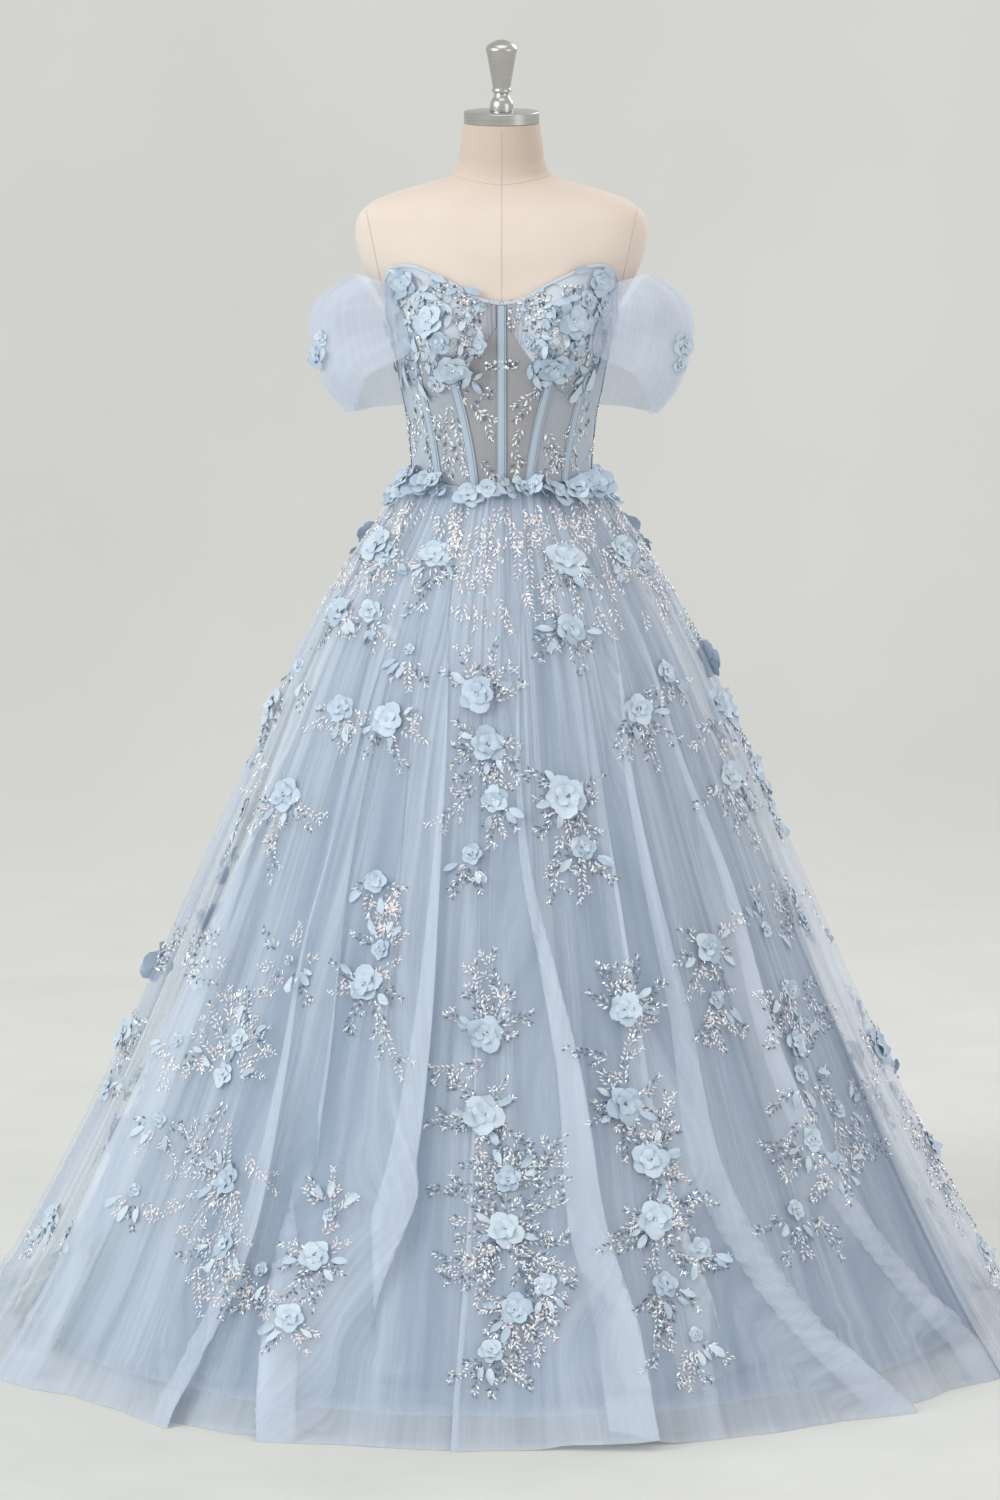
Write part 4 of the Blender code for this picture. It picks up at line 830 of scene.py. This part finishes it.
class Blooms:
    """Petals gathered up for one joined mesh."""

    def __init__(self):
        self.verts, self.faces, self.slots, self.hearts = [], [], [], []

    def petal(self, spot, ahead, side, out, length, width, cup, slot, twist, rows=5, columns=5):
        start = len(self.verts)
        for i in range(rows):
            v = i / (rows - 1)
            half = width / 2 * math.sqrt(1 - ((v - 0.60) / 0.62) ** 2)
            for j in range(columns):
                u = 2 * j / (columns - 1) - 1
                reach = length * (v - 0.30 * v**3 * u * u - 0.06 * v * v * math.cos(3 * math.pi * u))
                lift = cup * length * (1.5 * v * (1.25 - v) + 0.4 * u * u * v) + twist * length * u * v * v
                self.verts.append(spot + ahead * reach + side * u * half + out * lift)
        for i in range(rows - 1):
            for j in range(columns - 1):
                a = start + i * columns + j
                self.faces.append((a, a + 1, a + columns + 1, a + columns))
                self.slots.append(slot)

    def flower(self, spot, normal, radius, spin, rng):
        ahead, side, out = frame_on(normal, np.array((0.05, 0.1, 1.0)))
        slot = rng.choice((0, 0, 0, 1, 1, 2))
        for row, (share, cup) in enumerate(((1.0, 0.13), (0.58, 0.30))):
            for k in range(5):
                a = math.radians(spin + 72 * k + 36 * row + rng.uniform(-7, 7))
                way = ahead * math.cos(a) + side * math.sin(a)
                across = side * math.cos(a) - ahead * math.sin(a)
                length = radius * share * rng.uniform(0.88, 1.1)
                self.petal(
                    spot + out * (0.0006 + 0.0014 * row), way, across, out, length, length * 0.92,
                    cup * rng.uniform(0.6, 1.4), (slot + rng.choice((0, 0, 1))) % 3, rng.uniform(-0.2, 0.2),
                )
        self.hearts.append((spot + out * 0.003, out, radius))

    def make(self, name):
        return joined(name, self, organza)


rng = random.Random(11)
bodice_search = tree_of(bodice_pieces)
skirt_search = tree_of([tulle_outer])
SPOT, SKIRT_SPOT = 0.00131, 0.00129  # metres a spot of the photograph: bodice; skirt and beads
SKIRT_PROUD, BODICE_PROUD = 0.0012, 0.0012  # how far the embroidery stands off the cloth
DRESS_MIDDLE, WAIST_ROW = 502, 494  # the dress's middle column and waist row in the photograph

BODICE_BLOOMS = (  # spot of the photograph and radius in spots, as in the next two tables
    (405, 283, 16), (430, 322, 20), (452, 368, 20), (390, 327, 12), (600, 281, 16), (607, 330, 13),
    (572, 322, 20), (556, 365, 20), (478, 344, 10), (531, 343, 9), (441, 343, 12), (420, 300, 10),
    (587, 300, 11), (575, 345, 11), (437, 382, 10), (396, 305, 10), (602, 306, 10),
)
bodice_blooms = Blooms()
for x, y, size in BODICE_BLOOMS:
    found = seat(bodice_search, x, y)
    bodice_blooms.flower(found[0] + found[1] * 0.003, found[1], size * SPOT, rng.uniform(0, 72), rng)
made = bodice_blooms.make("bodice_flower_petals")
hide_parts(*[f"bodice_flower_{i}" for i in range(1, 7)])

WAIST_BLOOMS = (
    (402, 492, 13), (418, 486, 18), (440, 492, 11), (470, 498, 18), (489, 491, 14), (504, 488, 17),
    (521, 489, 14), (535, 486, 14), (557, 494, 21), (580, 489, 14), (598, 486, 19), (612, 498, 14),
    (392, 502, 12),
)
waist_blooms = Blooms()
for turn in (0, 75, 150, 225, 290):
    for x, y, size in WAIST_BLOOMS:
        if turn and (abs(x - DRESS_MIDDLE) > 70 or rng.random() < 0.35):
            continue
        found = seat(skirt_search, x, max(y, WAIST_ROW), turn)
        if found is None:
            continue
        out = found[1] + np.array((0, 0, 0.45))
        out /= np.linalg.norm(out)
        spot = found[0] + out * 0.003 + np.array((0, 0, (max(y, WAIST_ROW) - y) * SPOT))
        waist_blooms.flower(spot, out, size * SPOT, rng.uniform(0, 72), rng)
made = waist_blooms.make("waist_flower_petals")
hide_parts(*[f"waist_flower_{i}" for i in range(1, 11)])

HUBS = (  # spot and radius of the flower, sprigs round it, their reach, middle heading and spread
    (388, 553, 15, 4, 30, 95, 120), (436, 555, 17, 4, 34, 90, 140), (565, 560, 22, 5, 36, 85, 150),
    (625, 552, 17, 3, 26, 75, 100), (370, 612, 13, 4, 34, 105, 130), (570, 630, 17, 5, 40, 85, 200),
    (342, 708, 15, 5, 40, 120, 150), (388, 720, 19, 6, 44, 95, 240), (478, 695, 21, 5, 52, -70, 150),
    (488, 745, 20, 8, 58, 100, 240), (638, 710, 17, 5, 44, 70, 150), (665, 672, 15, 4, 36, 70, 120),
    (718, 705, 18, 4, 40, 65, 130), (730, 775, 16, 5, 46, 70, 150), (285, 795, 19, 6, 50, 110, 170),
    (567, 797, 23, 7, 52, 90, 300), (495, 800, 15, 3, 40, 80, 90), (583, 848, 14, 4, 44, 85, 150),
    (472, 855, 12, 3, 36, 100, 90), (375, 882, 13, 4, 38, 85, 200), (365, 985, 20, 6, 52, 85, 280),
    (382, 950, 12, 5, 44, -85, 120), (708, 948, 17, 6, 50, 80, 280), (716, 1000, 10, 4, 44, 85, 90),
    (485, 1035, 20, 6, 60, -75, 170), (483, 1115, 22, 8, 50, 90, 320), (625, 1010, 18, 6, 62, -80, 180),
    (795, 1045, 17, 6, 62, -100, 170), (225, 1075, 14, 5, 60, -70, 180), (240, 1040, 12, 5, 52, -60, 160),
    (625, 1105, 22, 7, 50, 95, 320), (838, 1165, 14, 5, 46, 60, 220), (650, 1160, 19, 5, 42, -40, 200),
    (508, 1180, 15, 5, 54, -55, 150), (228, 1180, 18, 7, 62, 160, 250), (505, 1230, 20, 12, 84, 90, 345),
    (655, 1220, 20, 9, 56, 60, 300), (225, 1245, 15, 6, 62, 120, 150), (315, 1256, 18, 6, 48, 95, 280),
    (700, 1248, 12, 2, 24, 80, 90), (545, 1285, 13, 4, 40, 50, 120), (665, 1285, 15, 4, 44, 80, 140),
    (515, 1310, 17, 7, 54, 95, 190), (290, 1318, 16, 4, 38, 100, 160), (490, 1352, 14, 5, 50, 80, 120),
    (735, 595, 12, 3, 26, 70, 100), (745, 700, 12, 3, 26, 70, 100), (800, 1075, 11, 5, 50, 60, 160),
    (838, 1110, 10, 5, 50, 20, 160), (812, 1140, 13, 5, 50, 110, 140), (795, 1210, 12, 4, 48, 85, 110),
    (262, 1270, 9, 4, 44, 120, 110), (330, 1215, 8, 4, 40, -90, 120), (695, 1335, 8, 4, 42, 90, 90),
    (300, 665, 9, 3, 34, 115, 100), (262, 740, 8, 3, 34, 115, 90), (410, 650, 7, 3, 34, 95, 90),
    (160, 1120, 9, 4, 44, 100, 200), (178, 1040, 8, 3, 40, 100, 160), (135, 1190, 8, 3, 36, 100, 120),
    (765, 930, 9, 5, 44, -70, 200), (790, 990, 12, 5, 52, 80, 240), (290, 960, 7, 6, 44, 90, 340),
)
SIDE_VIEWS = ((90, 1), (133, -1), (178, 1), (224, -1), (271, 1))
bloom_spots, skirt_blooms = [], Blooms()
for turn, mirror in ((0, 1),) + SIDE_VIEWS:
    for x, y, size, count, reach, heading, spread in HUBS:
        if turn:
            if abs(x - DRESS_MIDDLE) > 60 + 0.17 * (y - 500) or rng.random() < 0.25:
                continue
            x = DRESS_MIDDLE + mirror * (x - DRESS_MIDDLE) + rng.uniform(-12, 12)
            y = y + rng.uniform(-14, 14)
            heading = heading if mirror > 0 else 180 - heading
        found = seat(skirt_search, x, y, turn)
        if found is None:
            continue
        bloom_spots.append((x, y, count, reach, heading, spread, turn))
        spot = found[0] + found[1] * SKIRT_PROUD
        skirt_blooms.flower(spot, found[1], size * SKIRT_SPOT, rng.uniform(0, 72), rng)
skirt_blooms.make("skirt_flower_petals")

sleeve_search = tree_of([bpy.data.objects["sleeve_left_outer"], bpy.data.objects["sleeve_right_outer"]])
SLEEVE_BLOOMS = ((318, 355, 15), (683, 345, 17), (322, 338, 9), (679, 366, 10))
sleeve_blooms = Blooms()
for x, y, size in SLEEVE_BLOOMS:
    found = seat(sleeve_search, x, y)
    if found is not None:
        sleeve_blooms.flower(found[0] + found[1] * 0.001, found[1], size * SPOT, rng.uniform(0, 72), rng)
made = sleeve_blooms.make("sleeve_flower_petals")
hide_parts("sleeve_flower_left", "sleeve_flower_right")

# ---------------------------------------------------------------- beading
# Leafy sprigs of cut-glass bugle beads and marquise sequins, silver lined, sewn through the
# tulle two by two along a stem, with round beads at the flowers' hearts.
# cut glass lined with silver: sharp small glints, and a little unevenness from bead to bead
beads = []
# the bright and the dark copy are also lit and shaded copies of one bead: the bright one stands in for
# glints, a painted highlight, and the dark one for painted shade
for name, colour, metal, rough in (
    ("silver_sequin_bright", "#ffffff", 0.1, 0.12), ("silver_sequin_mid", "#e2e7ee", 0.6, 0.16),
    ("silver_sequin_dark", "#8b96a5", 0.8, 0.2), ("silver_sequin_blush", "#fbe9e8", 0.1, 0.14),
):
    material, tree, shader = finish(name, Metallic=metal, Specular_IOR_Level=0.8)
    spot = add(tree, "NewGeometry")
    cut = add(tree, "TexNoise", {"Vector": spot, "Scale": 700.0})
    dim = tuple(0.86 * c for c in shade(colour)[:3]) + (1.0,)
    glass = add(tree, "Mix", {0: cut, 6: dim, 7: shade(colour)}, data_type="RGBA")
    polish = add(tree, "MapRange", {"Value": cut, "To Min": rough * 0.6, "To Max": rough * 1.5})
    feed(shader, {"Base Color": glass, "Roughness": polish})
    beads.append(material)
CUT = np.array(((1, 0, 0), (-1, 0, 0), (0, 1, 0), (0, -1, 0), (0, 0, 1), (0, 0, -0.3)))
CUT_FACES = ((0, 2, 4), (2, 1, 4), (1, 3, 4), (3, 0, 4), (2, 0, 5), (1, 2, 5), (3, 1, 5), (0, 3, 5))


class Beads:
    """Beads gathered up for one joined mesh; each is a small cut gem shape."""

    def __init__(self):
        self.verts, self.faces, self.slots = [], [], []

    def bead(self, spot, ahead, side, out, size, slot):
        start = len(self.verts)
        self.verts += list(spot + (CUT * size) @ np.array((ahead, side, out)))
        self.faces += [tuple(start + i for i in face) for face in CUT_FACES]
        self.slots += [slot] * 8

    def lay(self, search, x, y, heading, size, slot, proud, turn, rng):
        """One bead under a spot of the photograph, turned to a heading there (90 is down)."""
        found = seat(search, x, y, turn)
        if found is None:
            return
        tilt = found[1] + np.array([rng.uniform(-0.45, 0.45) for _ in range(3)])
        axes = frame_on(tilt, way_of(heading, turn))
        self.bead(found[0] + found[1] * proud, *axes, np.array(size) * SKIRT_SPOT, slot)

    def sprig(self, search, x, y, heading, length, proud, turn, rng, slots, scale=1.0, twigs=True):
        """A stem with pairs of leaf-shaped sequins; lengths are in spots of the photograph."""
        bend = rng.uniform(-4.5, 4.5)
        step = 4.8 * scale
        steps = max(int(length / step), 2)
        for i in range(steps):
            heading += bend + rng.uniform(-4, 4)
            x, y = stepped(x, y, heading, step)
            full = scale * (1.05 - 0.4 * i / steps) * rng.uniform(0.8, 1.15)
            for hand in (-1, 1):
                a = heading + hand * rng.uniform(26, 52)
                size = (3.3 * full, 1.35 * full, 1.0 * full)
                self.lay(search, *stepped(x, y, a, 4.3 * full), a, size, rng.choice(slots), proud, turn, rng)
            if twigs and i % 4 == 1 and i < steps - 2:
                way = heading + rng.choice((-1, 1)) * rng.uniform(32, 52)
                self.sprig(search, x, y, way, length * 0.30, proud, turn, rng, slots, scale * 0.85, False)
        self.lay(search, x, y, heading, (3.0 * scale, 1.2 * scale, 0.9), 0, proud, turn, rng)

    def make(self, name):
        return joined(name, self, beads, smooth=False)


# painted light: bead brightness is chosen by the side of this column, lighter where the large light falls
LIGHT_SIDE = 430  # the columns left of this one face the large light


def painted_light_slots(x, rng):
    """Painted light: sprigs on the light side take more bright and blush beads, as painted highlights; the
    shaded side takes more dark silver beads, as painted shade.
    """
    if x < LIGHT_SIDE and rng.random() < 0.6:
        return (0, 0, 1, 3, 3)
    return (0, 0, 1, 1, 2, 3) if rng.random() < 0.4 else (0, 1, 1, 2, 2)


front_beads, side_beads = Beads(), Beads()
for x, y, count, reach, heading, spread, turn in bloom_spots:
    for k in range(count):
        if turn and rng.random() < 0.25:
            continue
        way = heading + spread * ((k + 0.5) / count - 0.5) + rng.uniform(-12, 12)
        off = rng.uniform(5, 12)
        start = stepped(x, y, way, off)
        length = reach * rng.uniform(0.7, 1.1) * (0.45 + 0.6 * abs(sine(way)))
        (side_beads if turn else front_beads).sprig(
            skirt_search, *start, way, length, SKIRT_PROUD, turn, rng, painted_light_slots(x, rng)
        )
FALLS, FALL_TOP, FALL_DROP, FALL_HALF = 56, 499, 112, 92  # a view's count; rows and half width
for turn in (0, 70, 140, 210, 285):  # short falls of sequins from the waist
    for _ in range(FALLS):
        across = rng.uniform(-1, 1)
        y = FALL_TOP + FALL_DROP * rng.random() ** 1.5
        x = DRESS_MIDDLE + across * (FALL_HALF + (y - 500) * 0.62)
        way = 90 - across * 34
        (side_beads if turn else front_beads).sprig(
            skirt_search, x, y, way, rng.uniform(16, 44), SKIRT_PROUD, turn, rng, (0, 0, 1, 3), 1.0, False
        )
SPRAYS = (  # the long sprays of the lower panels: start, heading, length
    (505, 1188, -35, 90), (492, 1192, 205, 82), (500, 1258, 165, 84), (520, 1250, 15, 70),
    (502, 1290, 95, 108), (488, 1060, 150, 76), (502, 1010, -88, 80), (478, 1120, 190, 70),
    (520, 1215, -60, 76), (500, 1240, 130, 90), (520, 1262, 45, 84), (540, 1180, -80, 70),
    (645, 1150, -50, 80), (660, 1228, -15, 76), (648, 1232, 165, 66), (655, 1290, 80, 96),
    (625, 1090, -95, 96), (640, 1160, 60, 80), (612, 1060, 200, 60), (672, 1250, 40, 76),
    (800, 1062, -60, 76), (832, 1172, -25, 76), (846, 1130, 25, 60), (815, 1212, 60, 66),
    (806, 1110, 110, 76), (245, 1062, -110, 96), (228, 1098, 110, 90), (222, 1180, 200, 66),
    (232, 1238, 100, 90), (198, 1262, 95, 66), (245, 1150, 60, 70), (190, 1200, 150, 56),
    (380, 1010, 80, 90), (372, 940, -75, 66), (712, 1000, 95, 70), (310, 1262, 120, 76),
    (322, 1240, -60, 60), (476, 780, 110, 84), (560, 830, 95, 90), (276, 830, 105, 66), (490, 700, -10, 50),
    (640, 720, 60, 66), (730, 790, 75, 76), (430, 575, 100, 60), (560, 600, 100, 60),
)
for x, y, heading, length in SPRAYS:
    front_beads.sprig(skirt_search, x, y, heading, length * 0.8, SKIRT_PROUD, 0, rng, painted_light_slots(x, rng))
front_beads.make("skirt_beading_front")
side_beads.make("skirt_beading_around")

heart_beads = Beads()
for group in (bodice_blooms, waist_blooms, skirt_blooms, sleeve_blooms):
    for spot, out, radius in group.hearts:
        ahead, side, out = frame_on(out, np.array((0.1, 0.2, 1.0)))
        for k in range(7):
            a = 2.4 * k
            off = 0.0034 * math.sqrt(k / 6)
            place = spot + ahead * off * math.cos(a) + side * off * math.sin(a) + out * 0.001
            heart_beads.bead(place, ahead, side, out, np.full(3, 0.0013), rng.choice((0, 0, 1, 2)))
heart_beads.make("flower_heart_beads")

bodice_beads = Beads()
MIDRIFF = (  # silver vines on the net between the channels: start, heading, length
    (449, 400, 82, 40), (455, 412, 88, 44), (447, 430, 80, 46), (458, 440, 90, 36), (450, 452, 84, 26),
    (470, 396, 58, 26), (476, 408, 40, 28), (484, 420, 62, 22), (478, 458, 50, 26), (492, 470, 80, 14),
    (538, 388, 128, 34), (532, 400, 120, 28), (524, 424, 125, 24), (510, 446, 60, 22), (516, 458, 95, 20),
    (545, 428, 66, 42), (550, 440, 72, 32), (556, 452, 70, 20), (578, 422, 100, 30), (571, 442, 80, 26),
    (428, 428, 82, 44), (432, 448, 80, 26), (414, 388, 75, 24), (590, 396, 108, 28), (586, 412, 105, 22),
    (417, 400, 80, 24), (540, 380, 100, 20), (462, 386, 80, 20), (424, 402, 82, 40), (437, 408, 85, 34),
)
for x, y, heading, length in MIDRIFF:
    slots = (0, 0, 0, 1, 1, 2)
    bodice_beads.sprig(bodice_search, x, y, heading, length, BODICE_PROUD, 0, rng, slots, 1.05, False)
MIDRIFF_ROWS = (385, 450)
for turn in (70, 125, 180, 235, 290):  # looser vines on the sides and the back
    for _ in range(10):
        x, y = DRESS_MIDDLE + rng.uniform(-48, 48), rng.uniform(*MIDRIFF_ROWS)
        heading, length = rng.uniform(70, 110), rng.uniform(22, 44)
        bodice_beads.sprig(bodice_search, x, y, heading, length, BODICE_PROUD, turn, rng, (0, 1, 1, 2), 0.72)
CLUSTERS = (  # loose stones on the cups and the bridge: two corners and a count
    (456, 299, 482, 358, 120), (508, 292, 552, 332, 130), (408, 300, 425, 385, 80),
    (430, 335, 470, 392, 130), (535, 330, 590, 388, 150), (578, 300, 604, 360, 80),
    (486, 360, 518, 369, 60), (396, 285, 440, 310, 60), (560, 285, 598, 306, 60), (480, 388, 494, 400, 12),
    (440, 285, 470, 300, 40), (530, 300, 560, 330, 40),
)
for x0, y0, x1, y1, count in CLUSTERS:
    for _ in range(count):
        size = rng.uniform(0.9, 1.9)
        bodice_beads.lay(
            bodice_search, rng.uniform(x0, x1), rng.uniform(y0, y1), rng.uniform(0, 180),
            (size * 1.3, size, size * 0.8), rng.choice((0, 0, 1, 2)), 0.0014, 0, rng,
        )
bodice_beads.make("bodice_beading")

# ---------------------------------------------------------------- corded leaves
# Leaf shapes of organza on the cups and round the skirt's flowers; those on the cups are edged
# with a fine grey-blue cord, couched down by hand.
# twisted silk cord: a soft lustre, its turns drawn as fine light and dark flecks
cord_thread, tree, shader = finish("couched_silk_cord", Roughness=0.6)
spot = add(tree, "NewGeometry")
twist = add(tree, "TexNoise", {"Vector": spot, "Scale": 1200.0})
silk = add(tree, "Mix", {0: twist, 6: shade("#6b7f93"), 7: shade("#92a5b7")}, data_type="RGBA")
feed(shader, {"Base Color": silk})
CUP_LEAVES = (  # spot, heading, length, width
    (398, 276, 35, 30, 9), (410, 288, 150, 22, 8), (392, 300, 85, 30, 9), (389, 322, 78, 30, 9),
    (394, 345, 75, 30, 9), (404, 362, 62, 28, 8), (418, 380, 40, 26, 8), (425, 268, 20, 30, 8),
    (445, 272, 25, 28, 8), (608, 276, 145, 30, 9), (596, 290, 30, 22, 8), (606, 302, 95, 30, 9),
    (608, 324, 100, 30, 9), (603, 346, 108, 30, 9), (594, 366, 120, 28, 8), (582, 382, 140, 26, 8),
    (575, 270, 165, 30, 8), (556, 278, 155, 28, 8), (458, 352, 70, 22, 7), (470, 372, 110, 20, 7),
    (540, 356, 110, 22, 7), (533, 372, 70, 20, 7), (440, 300, 200, 22, 7), (562, 302, -20, 22, 7),
    (414, 334, 60, 20, 6), (590, 334, 120, 20, 6), (448, 282, 200, 20, 7), (462, 288, 20, 20, 7),
    (480, 296, 25, 18, 6), (492, 300, 20, 14, 5), (520, 294, 150, 18, 6), (532, 285, 140, 20, 7),
    (544, 279, 160, 20, 7), (566, 269, 20, 22, 7), (590, 268, 170, 20, 7), (402, 274, 200, 16, 6),
)
LEAF_SPOT, LEAF_SLIM = 0.00125, 0.42  # metres a spot along a leaf; width by length
leaves, cords = Blooms(), []
for x, y, heading, length, width in CUP_LEAVES:
    found = seat(bodice_search, x, y)
    if found is None:
        continue
    ahead, side, out = frame_on(found[1], way_of(heading))
    leaves.petal(
        found[0] + out * 0.0022, ahead, side, out, length * LEAF_SPOT, width * SPOT,
        0.10, rng.choice((0, 1, 2)), rng.uniform(-0.1, 0.1),
    )
    rim = []
    for s in np.linspace(0, 1, 12):
        stem = stepped(x, y, heading, length * 0.95 * s)
        place = seat(bodice_search, *stepped(*stem, heading + 90, 0.5 * width * math.sin(math.pi * s)))
        if place is not None:
            rim.append(place[0] + place[1] * 0.0032)
    if len(rim) > 4:
        cords.append(rim)
SCROLLS = ((392, 284, 480, 386, 46), (524, 284, 608, 386, 46))  # two corners of each cup and a count
for x0, y0, x1, y1, count in SCROLLS:
    for k in range(count):
        x, y, heading = rng.uniform(x0, x1), rng.uniform(y0, y1), rng.uniform(0, 360)
        bend = rng.choice((-1, 1)) * rng.uniform(10, 26)
        found = seat(bodice_search, x, y)
        if found is not None and found[0][2] < 1.39:
            ahead, side, out = frame_on(found[1], way_of(heading))
            size = rng.uniform(0.014, 0.024)
            slot = rng.choice((0, 0, 1, 2))
            leaves.petal(found[0] + out * 0.0016, ahead, side, out, size, size * LEAF_SLIM, 0.12, slot, 0.1)
        path = []
        for _ in range(11):
            heading += bend
            x, y = stepped(x, y, heading, 2.1)
            found = seat(bodice_search, x, y)
            if found is None:
                break
            path.append(found[0] + found[1] * 0.0026)
        if len(path) > 4:
            cords.append(path)
tube("cup_leaf_cords", cords, 0.0005, cord_thread, 5)
for x, y, count, reach, heading, spread, turn in bloom_spots:
    for k in range(3):
        way = heading + rng.uniform(-0.5, 0.5) * max(spread, 120)
        found = seat(skirt_search, *stepped(x, y, way, 17), turn)
        if found is None:
            continue
        ahead, side, out = frame_on(found[1], way_of(way, turn))
        size = rng.uniform(0.016, 0.026)
        leaves.petal(
            found[0] + out * SKIRT_PROUD, ahead, side, out, size, size * LEAF_SLIM,
            0.16, rng.choice((0, 1, 2)), rng.uniform(-0.2, 0.2),
        )
leaves.make("organza_leaves")
